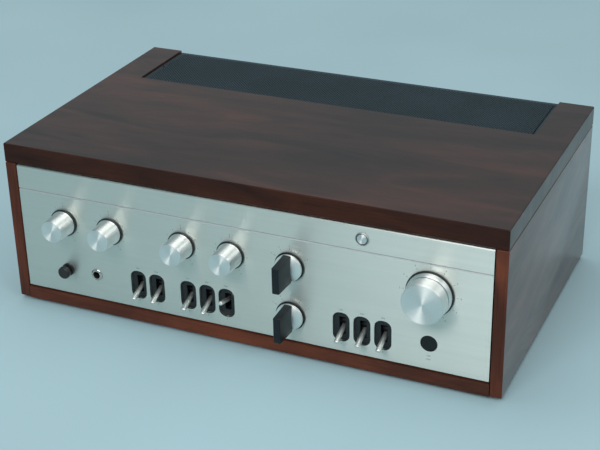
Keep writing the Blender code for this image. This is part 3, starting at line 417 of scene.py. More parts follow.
# painted shade for the groove round the pilot lens
paintedShadeBezel = polished("paintedShadeBezel", (0.10, 0.11, 0.12), rough=(0.16, 0.28))
transformerPaint = paintedSteel("transformerPaint", (0.022, 0.022, 0.026), metallic=0.3)
capacitorSleeve = plastic("capacitorSleeve", (0.03, 0.055, 0.13), rough=(0.25, 0.4), coat=0.3)
anodisedBlack = paintedSteel("anodisedBlack", (0.012, 0.012, 0.013), metallic=0.7)
print("materials made")


def repaint(finish, *names):
    for name in names:
        for slot in nodes[name].material_slots:
            slot.material = finish


# the nodes that show as they are, without a piece in their place

# painted light: the bottom board takes the rail copy of the veneer, with its brighter light factor
repaint(railVeneer, "bottom_board")
repaint(blackPlate, "control_plate")
repaint(zincSteel, "chassis_tray", "volume_pot", "selector_switch_upper",
        "selector_switch_lower", *[f"tone_pot_{n}" for n in range(1, 5)])
# painted shade: the switch banks get black plastic so the slots over them read dark; the other
# parts here are black plastic of their own
repaint(blackPlasticAndPaintedShade, "left_button_switch", "power_switch", "outlet_block", "switch_bank_left",
        "switch_bank_right")
repaint(boardPhenolic, "main_board")
repaint(rearPaint, "rear_panel")
repaint(footRubber, "cord_gland")
repaint(transformerPaint, "transformer")
repaint(capacitorSleeve, "filter_capacitors")
repaint(anodisedBlack, "heat_sink")
print("CAD nodes repainted")


# side boards with their front edges as stiles; side and stile veneers differ by their painted light
# factors

sideBoards = {"soft": 0.00025, "stileDepth": 0.0012}


def makeSideBoard(side):
    node = f"side_board_{side}"
    bm = copyOf(node)
    softenSharp(bm, sideBoards["soft"], 20.0)
    edge = caseFront + sideBoards["stileDepth"]
    cutAt(bm, (0.0, edge, 0.0), (0.0, 1.0, 0.0), near=0.000002)
    for face in bm.faces:
        face.material_index = 1 if face.calc_center_median().y < edge else 0
    makePiece(bm, f"sideBoard_{side}", [sideVeneer, stileVeneer], "amplifier", [node])


fasciaLook = {"grooveAbove": 0.05, "grooveBelow": 0.006}


def makeFascia():
    # brushed on its face; plain cut metal in the groove, given a darker colour as painted shade
    lowest = fasciaLow.z + fasciaLook["grooveAbove"]
    highest = fasciaHigh.z - fasciaLook["grooveBelow"]
    bm = copyOf("fascia")
    piece = makePiece(bm, "fasciaPlate", [fasciaMetal, cutMetalPaintedShade], "amplifier",
                      ["fascia"], smooth=False)
    for face in piece.data.polygons:
        inGroove = abs(face.normal.z) > 0.5 and lowest < face.center.z < highest
        face.material_index = 1 if inGroove else 0


def makeTopBoard():
    # the veneer of the top, and a darker edge band along its front: a copy of the veneer with its
    # own painted light factor and less coat
    bm = copyOf("top_board")
    piece = makePiece(bm, "topBoard", [topVeneer, topEdgeVeneer], "amplifier",
                      ["top_board"], smooth=False)
    for face in piece.data.polygons:
        face.material_index = 1 if face.normal.y < -0.7 else 0


makeFascia()
makeTopBoard()
for side in ("left", "right"):
    makeSideBoard(side)
print("case made")


# shapes that the turned knobs share

skirt = {"gap": 0.0003, "thick": 0.0013, "lip": 0.0003}


def skirtShape(radius, knobBack):
    # the thin skirt behind a knob: its front, its back and its rounded rim
    front = knobBack + skirt["gap"]
    back = front + skirt["thick"]
    lip = skirt["lip"]
    rim = [(radius - lip, front), (radius, front + lip), (radius, back - lip),
           (radius - lip, back)]
    return front, back, rim


def dishedFace(radius, front, look):
    # a slightly hollow face with a flat rim and a small chamfer
    chamfer, dish = look["faceChamfer"], look["dish"]
    return [
        (0.0, front + dish),
        (radius * 0.5, front + dish * 0.7),
        (radius - chamfer - look["faceRim"], front),
        (radius - chamfer, front),
        (radius - chamfer * 0.35, front + chamfer * 0.3),
        (radius, front + chamfer),
    ]


# knobs of the upper row

toneKnob = {
    "steps": 96,
    "faceShare": 0.889,
    "faceChamfer": 0.0005,
    "faceRim": 0.0003,
    "dish": 0.00012,
    "edge": 0.0003,
    "bore": 0.0063,
    "boreDepth": 0.0120,
    "core": 0.0060,
    "coreDepth": 0.0117,
    "spindle": 0.0030,
}


def makeToneKnob(number):
    cap, core = f"tone_cap_{number}", f"tone_core_{number}"
    body = f"tone_knob_{number}"
    low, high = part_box(cap)
    coreLow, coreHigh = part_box(core)
    mid = (low + high) / 2.0
    radius = (high.x - low.x) / 2.0
    edge, bore, spindle = toneKnob["edge"], toneKnob["bore"], toneKnob["spindle"]
    boreEnd = high.y - toneKnob["boreDepth"]
    bm = bmesh.new()
    turn(bm, dishedFace(radius * toneKnob["faceShare"], low.y, toneKnob) + [
        (radius - edge, high.y - 0.0007),
        (radius, high.y - 0.0004),
        (radius, high.y),
        (bore, high.y),
        (bore, boreEnd),
        (0.0, boreEnd),
    ], mid.x, mid.z, toneKnob["steps"])
    metal = turnedAluminium(f"toneKnobMetal_{number}", mid, rough=(0.40, 0.48))
    makePiece(bm, f"toneKnobShell_{number}", [metal], body, [cap], angle=25.0)
    front, back, rim = skirtShape((coreHigh.x - coreLow.x) / 2.0, high.y)
    coreEnd = high.y - toneKnob["coreDepth"]
    bm = bmesh.new()
    turn(bm, [
        (0.0, coreEnd),
        (toneKnob["core"], coreEnd),
        (toneKnob["core"], front),
        *rim,
        (spindle, back),
        (spindle, coreHigh.y),
        (0.0, coreHigh.y),
    ], mid.x, mid.z, toneKnob["steps"])
    makePiece(bm, f"toneKnobCore_{number}", [blackPlasticAndPaintedShade], body, [core])


for number in range(1, 5):
    makeToneKnob(number)
print("tone knobs made")


# selectors: a black grip over a bright disc

selector = {
    "steps": 96,
    "gripWidth": 0.0065,
    "gripLength": 0.0240,
    "rootLength": 0.0256,
    "rootWidth": 0.0072,
    "edge": 0.0008,
    "softSteps": 4,
    "boss": 0.0028,
    "bossFront": 0.0008,
    "gap": 0.0003,
    "spindle": 0.0030,
    "flat": 0.0055,
    "fall": 0.0020,
}


def makeSelector(row):
    grip, disc = f"selector_grip_{row}", f"selector_disc_{row}"
    body = f"selector_{row}"
    low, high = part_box(grip)
    discLow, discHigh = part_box(disc)
    mid = (discLow + discHigh) / 2.0
    radius = (discHigh.x - discLow.x) / 2.0
    front, back, rim = skirtShape((high.x - low.x) / 2.0, discHigh.y)
    gap, spindle = selector["gap"], selector["spindle"]
    root = discLow.y - gap
    flat, fall = selector["flat"], selector["fall"]
    bm = bmesh.new()
    verts = addBox(bm, (mid.x - 0.5, low.y, mid.z - 0.5), (mid.x + 0.5, root, mid.z + 0.5))
    for vert in verts:
        far = vert.co.y > (low.y + root) / 2.0
        wide = selector["rootWidth" if far else "gripWidth"]
        long = selector["rootLength" if far else "gripLength"]
        vert.co.x = mid.x + math.copysign(wide / 2.0, vert.co.x - mid.x)
        vert.co.z = mid.z + math.copysign(long / 2.0, vert.co.z - mid.z)
    for side in (-1.0, 1.0):
        # the root falls away with the disc beyond its flat middle
        cutAt(bm, (0.0, 0.0, mid.z + side * flat), (0.0, 0.0, side))
    for vert in bm.verts:
        if abs(vert.co.z - mid.z) > flat * 1.2 and vert.co.y > (low.y + root) / 2.0:
            vert.co.y = root + fall
    softenSharp(bm, selector["edge"], 30.0, segments=selector["softSteps"])
    boss = selector["boss"]
    bossFront = root - selector["bossFront"]
    turn(bm, [
        (0.0, bossFront),
        (boss, bossFront),
        (boss, front),
        *rim,
        (spindle, back),
        (spindle, high.y),
        (0.0, high.y),
    ], mid.x, mid.z, selector["steps"])
    makePiece(bm, f"selectorGrip_{row}", [gripPlastic], body, [grip])
    bm = bmesh.new()
    turn(bm, [
        (boss + gap, discHigh.y),
        (boss + gap, discLow.y),
        (flat - 0.0004, discLow.y),
        (flat + 0.0004, discLow.y + 0.00008),
        (radius - 0.0005, discLow.y + fall * 0.93),
        (radius - 0.0001, discLow.y + fall + 0.0001),
        (radius, discLow.y + fall + 0.0004),
        (radius, discHigh.y - 0.0003),
        (radius - 0.0003, discHigh.y),
        (boss + gap, discHigh.y),
    ], mid.x, mid.z, selector["steps"])
    metal = turnedAluminium(f"selectorDiscMetal_{row}", mid, rough=(0.38, 0.46), strength=0.55)
    makePiece(bm, f"selectorDisc_{row}", [metal], body, [disc], angle=25.0)


for row in ("upper", "lower"):
    makeSelector(row)
print("selectors made")


# volume knob and the balance ring behind it

volume = {
    "steps": 128,
    "faceShare": 0.978,
    "faceChamfer": 0.0006,
    "faceRim": 0.0004,
    "dish": 0.00018,
    "gap": 0.0003,
    "recess": 0.0009,
    "recessDepth": 0.0012,
    "spindle": 0.0030,
    "boss": 0.0087,
    "ringTop": 0.93,
    "ringInset": 0.0006,
    "hollow": 0.0033,
    "hollowWall": 0.0050,
    "skirtLap": 0.0004,
}


def makeVolume():
    low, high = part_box("volume_knob")
    ringLow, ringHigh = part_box("balance_ring")
    skirtLow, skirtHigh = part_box("balance_skirt")
    mid = (ringLow + ringHigh) / 2.0
    radius = (high.x - low.x) / 2.0
    back = ringLow.y - volume["gap"]
    recess = back - volume["recess"]
    inner = radius - volume["recessDepth"]
    spindle = volume["spindle"]
    bm = bmesh.new()
    turn(bm, dishedFace(radius * volume["faceShare"], low.y, volume) + [
        (radius - 0.0002, back - 0.0014),
        (radius, back - 0.0012),
        (radius, recess),
        (inner, recess),
        (inner, back),
        (spindle, back),
        (spindle, high.y),
        (0.0, high.y),
    ], mid.x, mid.z, volume["steps"])
    metal = turnedAluminium("volumeKnobMetal", mid, strength=0.84)
    for face in bm.faces:
        # the recess next to the ring is real; its faces also get black plastic as painted shade for
        # the dark gap
        face.material_index = 1 if face.calc_center_median().y > recess - 0.00001 else 0
    makePiece(bm, "volumeKnob", [metal, blackPlasticAndPaintedShade], "volume",
              ["volume_knob"], angle=25.0)
    full = (ringHigh.x - ringLow.x) / 2.0
    outer = full - volume["ringInset"]
    boss = volume["boss"] + volume["gap"]
    top = full * volume["ringTop"]
    bm = bmesh.new()
    turn(bm, [
        (boss, ringHigh.y),
        (boss, ringLow.y),
        (top - 0.0006, ringLow.y),
        (top - 0.0001, ringLow.y + 0.0001),
        (top + 0.0005, ringLow.y + 0.0006),
        (outer - 0.0001, ringLow.y + 0.0021),
        (outer, ringLow.y + 0.0025),
        (outer, ringHigh.y - 0.0003),
        (outer - 0.0003, ringHigh.y),
        (boss, ringHigh.y),
    ], mid.x, mid.z, volume["steps"])
    metal = turnedAluminium("balanceRingMetal", mid, rough=(0.36, 0.44), strength=0.85)
    makePiece(bm, "balanceRing", [metal], "balance", ["balance_ring"],
              angle=25.0)
    front, back, rim = skirtShape((skirtHigh.x - skirtLow.x) / 2.0 + volume["skirtLap"],
                                  ringHigh.y)
    hollow, wall = volume["hollow"], volume["hollowWall"]
    bm = bmesh.new()
    turn(bm, [
        (hollow, ringLow.y),
        (volume["boss"], ringLow.y),
        (volume["boss"], front),
        *rim,
        (wall, back),
        (wall, skirtHigh.y),
        (hollow, skirtHigh.y),
        (hollow, ringLow.y),
    ], mid.x, mid.z, volume["steps"])
    makePiece(bm, "balanceSkirt", [blackPlasticAndPaintedShade], "balance", ["balance_skirt"])


makeVolume()
print("volume knob made")


# lever switches: flattened, tapered bats

leverBat = {
    "steps": 40,
    "length": 0.0262,
    "tipRadius": 0.0024,
    "rootRadius": 0.0021,
    "blunt": 0.62,
    "nose": 0.45,
    "noseSteps": 6,
    "paintedShadeRoot": 0.0058,
    "flatness": 0.72,
    "down": -20.5,
    "up": 13.0,
    "raised": 5,
    "drumRadius": 0.0032,
    "drumWidth": 0.0080,
}


def pivotOf(number):
    return next(Vector(joint["pos_m"]) for joint in frame["joints"]
                if joint["name"] == f"lever_throw_{number}")


def makeLever(number):
    long, tip, root = leverBat["length"], leverBat["tipRadius"], leverBat["rootRadius"]
    blunt, steps, noseSteps = leverBat["blunt"], leverBat["steps"], leverBat["noseSteps"]
    bm = bmesh.new()
    profile = [(0.0, -long)]
    for step in range(1, noseSteps + 1):
        angle = math.pi / 2.0 * step / noseSteps
        profile.append((tip * (blunt + (1.0 - blunt) * math.sin(angle)),
                        -long + tip * leverBat["nose"] * (1.0 - math.cos(angle))))
    profile += [(tip * 0.97, -long * 0.80), (root * 1.1, -long * 0.2), (root, 0.0), (0.0, 0.0)]
    turn(bm, profile, 0.0, 0.0, steps)
    bmesh.ops.scale(bm, verts=bm.verts, vec=(1.0, 1.0, leverBat["flatness"]))
    bmesh.ops.create_cone(bm, cap_ends=True, segments=steps, radius1=leverBat["drumRadius"],
                          radius2=leverBat["drumRadius"], depth=leverBat["drumWidth"],
                          matrix=Matrix.Rotation(math.pi / 2.0, 4, "Y"))
    for face in bm.faces:
        # painted shade: drum and root get black plastic, standing for the shadow inside the slot
        face.material_index = 1 if face.calc_center_median().length < leverBat["paintedShadeRoot"] else 0
    angle = leverBat["up"] if number == leverBat["raised"] else leverBat["down"]
    matrix = (Matrix.Translation(pivotOf(number))
              @ Matrix.Rotation(math.radians(-angle), 4, "X"))
    bmesh.ops.transform(bm, matrix=matrix, verts=bm.verts)
    makePiece(bm, f"leverBat_{number}", [leverMetal, blackPlasticAndPaintedShade], f"lever_arm_{number}",
              [f"lever_{number}"], angle=40.0)


for number in range(1, 9):
    makeLever(number)
print("levers made")


# left push button, phones jack, power button and pilot lamp

leftButton = {"steps": 72, "capRadius": 0.0058, "capThickness": 0.0042, "neckRadius": 0.0036}


def makeLeftButton():
    low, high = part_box("left_button")
    mid = (low + high) / 2.0
    radius, neck = leftButton["capRadius"], leftButton["neckRadius"]
    front = low.y
    back = front + leftButton["capThickness"]
    bm = bmesh.new()
    turn(bm, [
        (0.0, front + 0.0003),
        (radius * 0.55, front + 0.0002),
        (radius * 0.72, front),
        (radius * 0.80, front + 0.00008),
        (radius * 0.92, front + 0.0005),
        (radius * 0.985, front + 0.0011),
        (radius, front + 0.0018),
        (radius, back - 0.0005),
        (radius - 0.0004, back),
        (neck, back),
        (neck, high.y),
        (0.0, high.y),
    ], mid.x, mid.z, leftButton["steps"])
    makePiece(bm, "leftButtonCap", [blackPlasticAndPaintedShade], "left_push", ["left_button"])


phonesJack = {"steps": 72, "flange": 0.0056, "thick": 0.0010, "bore": 0.0033, "depth": 0.030,
              "barrel": 0.0047, "body": 0.0080, "bodyGap": 0.0003}


def makePhonesJack():
    low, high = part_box("phones_jack")
    mid = (low + high) / 2.0
    front = low.y
    back = front + phonesJack["thick"]
    flange, bore = phonesJack["flange"], phonesJack["bore"]
    barrel, shell = phonesJack["barrel"], phonesJack["body"]
    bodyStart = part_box("control_plate")[1].y + phonesJack["bodyGap"]
    boreEnd = fasciaFront + phonesJack["depth"]
    bm = bmesh.new()
    turn(bm, [
        (0.0, boreEnd),
        (bore, boreEnd),
        (bore, front + 0.0006),
        (bore + 0.0002, front + 0.0002),
        (bore + 0.0007, front),
        (flange - 0.0008, front + 0.0004),
        (flange - 0.0002, front + 0.0007),
        (flange, front + 0.0009),
        (flange, back),
        (barrel, back),
        (barrel, bodyStart),
        (shell, bodyStart),
        (shell, high.y),
        (0.0, high.y),
    ], mid.x, mid.z, phonesJack["steps"])
    for face in bm.faces:
        away = awayFrom(face, mid.x, mid.z).length
        inside = away < bore + 0.0001 and face.calc_center_median().y > front + 0.0006
        face.material_index = 1 if inside or away > flange + 0.0002 else 0
    makePiece(bm, "phonesJack", [nickelPlate, blackPlasticAndPaintedShade], "amplifier",
              ["phones_jack"], angle=30.0)


powerButton = {"steps": 96, "thick": 0.0042, "stem": 0.0030}


def makePowerButton():
    low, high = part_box("power_button")
    mid = (low + high) / 2.0
    radius = (high.x - low.x) / 2.0
    stem = powerButton["stem"]
    back = low.y + powerButton["thick"]
    bm = bmesh.new()
    turn(bm, [
        (0.0, low.y + 0.00035),
        (radius * 0.5, low.y + 0.00025),
        (radius * 0.86, low.y),
        (radius - 0.0005, low.y + 0.0001),
        (radius - 0.0001, low.y + 0.0004),
        (radius, low.y + 0.0008),
        (radius, back),
        (stem, back),
        (stem, high.y),
        (0.0, high.y),
    ], mid.x, mid.z, powerButton["steps"])
    makePiece(bm, "powerButton", [grainPlastic], "power_push", ["power_button"])


pilot = {"steps": 72, "flange": 0.0060, "proud": 0.0012, "groove": 0.0008, "gap": 0.0003,
         "barrel": 0.0052, "well": 0.0053}


def makePilotLamp():
    low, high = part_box("pilot_bezel")
    lensLow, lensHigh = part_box("pilot_lens")
    mid = (lensLow + lensHigh) / 2.0
    lens = (lensHigh.x - lensLow.x) / 2.0
    gap, flange, barrel = pilot["gap"], pilot["flange"], pilot["barrel"]
    front = fasciaFront - pilot["proud"]
    groove = lens + pilot["groove"]
    wellEnd = fasciaFront + pilot["well"]
    bm = bmesh.new()
    turn(bm, [
        (lens + gap, wellEnd),
        (lens + gap, front + 0.0004),
        (groove, front + 0.0003),
        (groove + 0.0002, front),
        (flange - 0.0006, front + 0.0001),
        (flange - 0.0001, front + 0.0005),
        (flange, fasciaFront - gap),
        (barrel, fasciaFront - gap),
        (barrel, high.y),
        (0.0, high.y),
        (0.0, wellEnd),
        (lens + gap, wellEnd),
    ], mid.x, mid.z, pilot["steps"])
    # painted shade: the groove round the lens gets dark metal, standing for the shadow gap between
    # lens and flange
    for face in bm.faces:
        face.material_index = 1 if awayFrom(face, mid.x, mid.z).length < groove else 0
    makePiece(bm, "pilotBezel", [bezelMetal, paintedShadeBezel], "amplifier",
              ["pilot_bezel"])
    bm = bmesh.new()
    turn(bm, [
        (0.0, lensLow.y),
        (lens * 0.80, lensLow.y + 0.00005),
        (lens * 0.93, lensLow.y + 0.0002),
        (lens, lensLow.y + 0.0006),
        (lens, lensHigh.y),
        (0.0, lensHigh.y),
    ], mid.x, mid.z, pilot["steps"])
    metal = turnedAluminium("pilotJewelMetal", mid)
    makePiece(bm, "pilotJewel", [metal], "amplifier", ["pilot_lens"], angle=25.0)


makeLeftButton()
makePhonesJack()
makePowerButton()
makePilotLamp()
print("buttons, jack and pilot made")


# perforated grille over the vent

grille = {"pitch": 0.0023, "web": 0.00052, "thickness": 0.0010, "border": 0.0030,
          "lip": 0.0012, "lipInset": 0.0080, "lipDrop": 0.0006, "lipSoft": 0.0002}


def makeGrille():
    low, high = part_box("vent_grille")
    pitch, border, near = grille["pitch"], grille["border"], 0.00001
    mid = Vector(((low.x + high.x) / 2.0, (low.y + high.y) / 2.0, high.z))
    count = int((high.x - low.x) / pitch * 0.86) + 8
    bm = bmesh.new()
    bmesh.ops.create_grid(bm, x_segments=count, y_segments=count, size=count * pitch / 2.0)
    matrix = Matrix.Translation(mid) @ Matrix.Rotation(math.radians(45.0), 4, "Z")
    bmesh.ops.transform(bm, matrix=matrix, verts=bm.verts)
    sides = [(axis, sign, end[axis]) for axis in (0, 1) for sign, end in ((1.0, low), (-1.0, high))]
    for axis, sign, line in sides:
        point, normal = [0.0, 0.0, 0.0], [0.0, 0.0, 0.0]
        point[axis] = line + sign * border
        normal[axis] = -sign
        cutAt(bm, point, normal, outer=True)
    whole = pitch * pitch * 0.9
    full = [face for face in bm.faces if face.calc_area() > whole]
    bmesh.ops.inset_individual(bm, faces=full, thickness=grille["web"], depth=0.0)
    bmesh.ops.delete(bm, geom=full, context="FACES")

    def onBorder(vert):
        return any(abs(vert.co[axis] - line - sign * border) < near for axis, sign, line in sides)

    rim = [edge for edge in bm.edges if edge.is_boundary and all(map(onBorder, edge.verts))]
    grown = bmesh.ops.extrude_edge_only(bm, edges=rim)["geom"]
    for vert in (item for item in grown if isinstance(item, bmesh.types.BMVert)):
        for axis, sign, line in sides:
            if sign * (vert.co[axis] - line) < border + near:
                vert.co[axis] = line
    bmesh.ops.recalc_face_normals(bm, faces=bm.faces)
    if bm.faces[:][0].normal.z < 0.0:
        bmesh.ops.reverse_faces(bm, faces=bm.faces)
    bmesh.ops.solidify(bm, geom=bm.faces[:], thickness=-grille["thickness"])
    drop = high.z - max(vert.co.z for vert in bm.verts)
    bmesh.ops.translate(bm, verts=bm.verts, vec=(0.0, 0.0, drop))
    lipHalf = (high.x - low.x) / 2.0 - grille["lipInset"]
    addBox(bm, (mid.x - lipHalf, high.y - grille["lip"], low.z),
           (mid.x + lipHalf, high.y, high.z - grille["lipDrop"]), soft=grille["lipSoft"])
    made = makePiece(bm, "ventGrille", [gridPaint], "amplifier", ["vent_grille"],
                     smooth=False)
    print("grille:", len(made.data.polygons), "faces")


makeGrille()


# rear side: sockets, terminals and screws

rearSide = {
    "steps": 32,
    "strip": 0.0025,
    "stripSoft": 0.0002,
    "sunk": 0.0010,
    "socketPitch": 0.02199,
    "terminalPitch": 0.0200,
    "linePitch": 0.026,
    "socketRadius": 0.0042,
    "socketMouth": 0.0034,
    "socketBore": 0.0018,
    "postSteps": 48,
    "fluteTurn": 22.5,
    "fluteWide": 7.5,
    "capRadius": 0.0055,
    "collarRadius": 0.0040,
    "collar": 0.0050,
    "screwRadius": 0.0030,
    "screwInset": 0.0075,
}
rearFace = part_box("rear_panel")[1].y


def fieldPlaces(node, columns, pitch):
    spot = middleOf(node)
    return [(spot.x + (column - (columns - 1) / 2.0) * pitch,
             spot.z + line * rearSide["linePitch"] / 2.0)
            for line in (-1, 1) for column in range(columns)]


def addStrip(bm, node):
    low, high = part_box(node)
    addBox(bm, low, (high.x, low.y + rearSide["strip"], high.z),
           soft=rearSide["stripSoft"])


def makeSockets():
    low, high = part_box("input_jacks")
    radius, mouth, bore = (rearSide[key] for key in ("socketRadius", "socketMouth", "socketBore"))
    start = low.y + rearSide["sunk"]
    bm = bmesh.new()
    addStrip(bm, "input_jacks")
    for face in bm.faces:
        face.material_index = 2
    for x, z in fieldPlaces("input_jacks", 6, rearSide["socketPitch"]):
        known = set(bm.faces)
        turn(bm, [
            (0.0, start),
            (radius, start),
            (radius, high.y - 0.0004),
            (radius - 0.0003, high.y),
            (mouth + 0.0001, high.y),
            (mouth, high.y - 0.0002),
            (mouth, high.y - 0.0012),
            (bore, high.y - 0.0012),
            (bore, rearFace),
            (0.0, rearFace),
        ], x, z, rearSide["steps"])
        for face in (face for face in bm.faces if face not in known):
            shallow = face.calc_center_median().y > high.y - 0.002
            ring = shallow and bore * 1.1 < awayFrom(face, x, z).length < mouth * 0.9
            face.material_index = 1 if ring else 0
    makePiece(bm, "inputSockets", [nickelPlate, socketInsert, boardPhenolic], "amplifier",
              ["input_jacks"], angle=30.0)


def makeTerminals():
    low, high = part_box("speaker_terminals")
    cap, collar = rearSide["capRadius"], rearSide["collarRadius"]
    start = low.y + rearSide["sunk"]
    shoulder = rearFace + rearSide["collar"]
    bm = bmesh.new()
    addStrip(bm, "speaker_terminals")
    for x, z in fieldPlaces("speaker_terminals", 4, rearSide["terminalPitch"]):
        known = set(bm.faces)
        turn(bm, [
            (0.0, start),
            (collar, start),
            (collar, shoulder),
            (cap - 0.0005, shoulder),
            (cap, shoulder + 0.0005),
            (cap, high.y - 0.0006),
            (cap - 0.0006, high.y),
            (0.0022, high.y),
            (0.0020, high.y - 0.0008),
            (0.0, high.y - 0.0008),
        ], x, z, rearSide["postSteps"])
        flutes = []
        for face in (face for face in bm.faces if face not in known):
            reach = face.calc_center_median().y
            away = awayFrom(face, x, z)
            if reach < shoulder - 0.0001 or (away.length < 0.0021 and reach > shoulder):
                face.material_index = 1
            if away.length > cap * 0.99 and shoulder + 0.0006 < reach < high.y - 0.0007:
                turned = math.degrees(math.atan2(away.z, away.x)) % rearSide["fluteTurn"]
                if turned < rearSide["fluteWide"]:
                    flutes.append(face)
        bmesh.ops.inset_individual(bm, faces=flutes, thickness=0.00008, depth=-0.00035)
    makePiece(bm, "speakerPosts", [blackPlasticAndPaintedShade, nickelPlate], "amplifier",
              ["speaker_terminals"], angle=30.0)


def makeRearScrews():
    low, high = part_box("rear_panel")
    inset, radius = rearSide["screwInset"], rearSide["screwRadius"]
    bm = bmesh.new()
    for x in (low.x + inset, (low.x + high.x) / 2.0, high.x - inset):
        for z in (low.z + inset, high.z - inset):
            turn(bm, [
                (0.0, rearFace - 0.0006),
                (0.0016, rearFace - 0.0006),
                (0.0016, rearFace + 0.00002),
                (radius, rearFace + 0.00002),
                (radius, rearFace + 0.0004),
                (radius * 0.93, rearFace + 0.0009),
                (radius * 0.72, rearFace + 0.0014),
                (radius * 0.45, rearFace + 0.0017),
                (0.0011, rearFace + 0.0018),
                (0.0009, rearFace + 0.0008),
                (0.0, rearFace + 0.0006),
            ], x, z, rearSide["steps"])
    makePiece(bm, "rearScrews", [nickelPlate], "amplifier", angle=40.0)


makeSockets()
makeTerminals()
makeRearScrews()
print("rear side made")


# rubber feet, each with a sunk screw

footLook = {"steps": 64, "lip": 0.0008, "well": 0.0042, "wellDepth": 0.0018, "screw": 0.0034,
            "screwSteps": 32}


def makeFoot(node):
    low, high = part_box(node)
    mid = (low + high) / 2.0
    radius = (high.x - low.x) / 2.0
    well, depth, lip = footLook["well"], footLook["wellDepth"], footLook["lip"]
    bm = bmesh.new()
    turnUp(bm, [
        (0.0, high.z),
        (radius, high.z),
        (radius, low.z + lip),
        (radius - lip * 0.3, low.z + lip * 0.3),
        (radius - lip, low.z),
        (well + 0.0003, low.z),
        (well, low.z + 0.0003),
        (well, low.z + depth),
        (0.0, low.z + depth),
    ], mid.x, mid.y, footLook["steps"])
    known = set(bm.faces)
    screw = footLook["screw"]
    base = low.z + depth
    turnUp(bm, [
        (0.0, base + 0.0002),
        (screw, base + 0.0002),
        (screw, base - 0.0004),
        (screw * 0.7, base - 0.0009),
        (0.0012, base - 0.0011),
        (0.0010, base - 0.0003),
        (0.0, base - 0.0003),
    ], mid.x, mid.y, footLook["screwSteps"])
    for face in bm.faces:
        if face not in known:
            face.material_index = 1
    makePiece(bm, node.replace("foot", "rubberFoot"), [footRubber, nickelPlate], "amplifier",
              [node])


for end in ("front", "rear"):
    for side in ("left", "right"):
        makeFoot(f"foot_{end}_{side}")
print("feet made")


# printed marks on the fascia: ticks, plain numbers, ON and OFF

marks = {
    "thick": 0.00003,
    "tickWide": 0.00032,
    "lift": 0.00002,
    "small": 0.0021,
    "large": 0.0022,
    "tone": {"inner": 0.0150, "outer": 0.0162, "long": 0.0176, "text": 0.0190},
    "selector": {"inner": 0.0152, "outer": 0.0168, "text": 0.0190},
    "volume": {"inner": 0.0222, "outer": 0.0240, "text": 0.0262},
    "slotRow": 0.0238,
    "slotText": 0.0165,
    "slotInner": 0.0152,
    "slotOuter": 0.0166,
    "powerOn": 0.0118,
    "powerOff": 0.0152,
}


def addTick(bm, x, z, angle, inner, outer):
    # a short line that points away from the middle (x, z); angle from straight up
    verts = bmesh.ops.create_cube(bm, size=1.0)["verts"]
    length = outer - inner
    bmesh.ops.scale(bm, verts=verts, vec=(marks["tickWide"], marks["thick"], length))
    bmesh.ops.translate(bm, verts=verts, vec=(0.0, 0.0, (inner + outer) / 2.0))
    bmesh.ops.rotate(bm, verts=verts, matrix=Matrix.Rotation(angle, 3, "Y"))
    bmesh.ops.translate(bm, verts=verts,
                        vec=(x, fasciaFront - marks["thick"] / 2.0 - marks["lift"], z))


def addText(bm, words, x, z, size):
    curve = bpy.data.curves.new("words", "FONT")
    curve.body = words
    curve.size = size
    curve.align_x = "CENTER"
    curve.align_y = "CENTER"
    curve.extrude = marks["thick"] / 2.0
    curve.resolution_u = 2
    holder = bpy.data.objects.new("words", curve)
    bpy.context.scene.collection.objects.link(holder)
    graph = bpy.context.evaluated_depsgraph_get()
    mesh = bpy.data.meshes.new_from_object(holder.evaluated_get(graph))
    matrix = (Matrix.Translation((x, fasciaFront - marks["thick"] / 2.0 - marks["lift"], z))
              @ Matrix.Rotation(math.pi / 2.0, 4, "X"))
    mesh.transform(matrix)
    bm.from_mesh(mesh)
    bpy.data.objects.remove(holder)
    bpy.data.curves.remove(curve)
    bpy.data.meshes.remove(mesh)


def addTextAt(bm, words, spot, angle, radius, size):
    addText(bm, words, spot.x + radius * math.sin(angle), spot.z + radius * math.cos(angle), size)


def makeMarks():
    small, large = marks["small"], marks["large"]
    bm = bmesh.new()
    look = marks["tone"]
    for number in range(1, 5):
        spot = middleOf(f"tone_cap_{number}")
        for step in range(-5, 6):
            addTick(bm, spot.x, spot.z, math.radians(step * 30.0), look["inner"],
                    look["long" if step == 0 else "outer"])
        for words, angle in (("0", 0.0), ("5", -150.0), ("5", 150.0)):
            addTextAt(bm, words, spot, math.radians(angle), look["text"], small)
    look = marks["selector"]
    for row in ("upper", "lower"):
        spot = middleOf(f"selector_disc_{row}")
        for count, step in enumerate(range(-2, 3), 1):
            angle = math.radians(step * 30.0)
            addTick(bm, spot.x, spot.z, angle, look["inner"], look["outer"])
            addTextAt(bm, str(count), spot, angle, look["text"], small)
    look = marks["volume"]
    spot = middleOf("balance_ring")
    for step in range(0, 11):
        angle = math.radians(-150.0 + step * 30.0)
        addTick(bm, spot.x, spot.z, angle, look["inner"], look["outer"])
        addTextAt(bm, str(step), spot, angle, look["text"], large)
    slotRow = fasciaLow.z + marks["slotRow"]
    for number in range(1, 9):
        x = pivotOf(number).x
        addText(bm, "ON", x, slotRow + marks["slotText"], small)
        addTick(bm, x, slotRow, math.pi, marks["slotInner"], marks["slotOuter"])
    spot = middleOf("power_button")
    addText(bm, "ON", spot.x, spot.z - marks["powerOn"], large)
    addText(bm, "OFF", spot.x, spot.z - marks["powerOff"], large)
    makePiece(bm, "fasciaMarks", [markPaint], "amplifier", smooth=False)


makeMarks()
print("marks made")


# floor, light and camera

stageLook = {
    "floor": srgb(153, 182, 190),
    "sky": srgb(138, 161, 168),
    "ambient": 0.55,
    "size": 9.0,
}

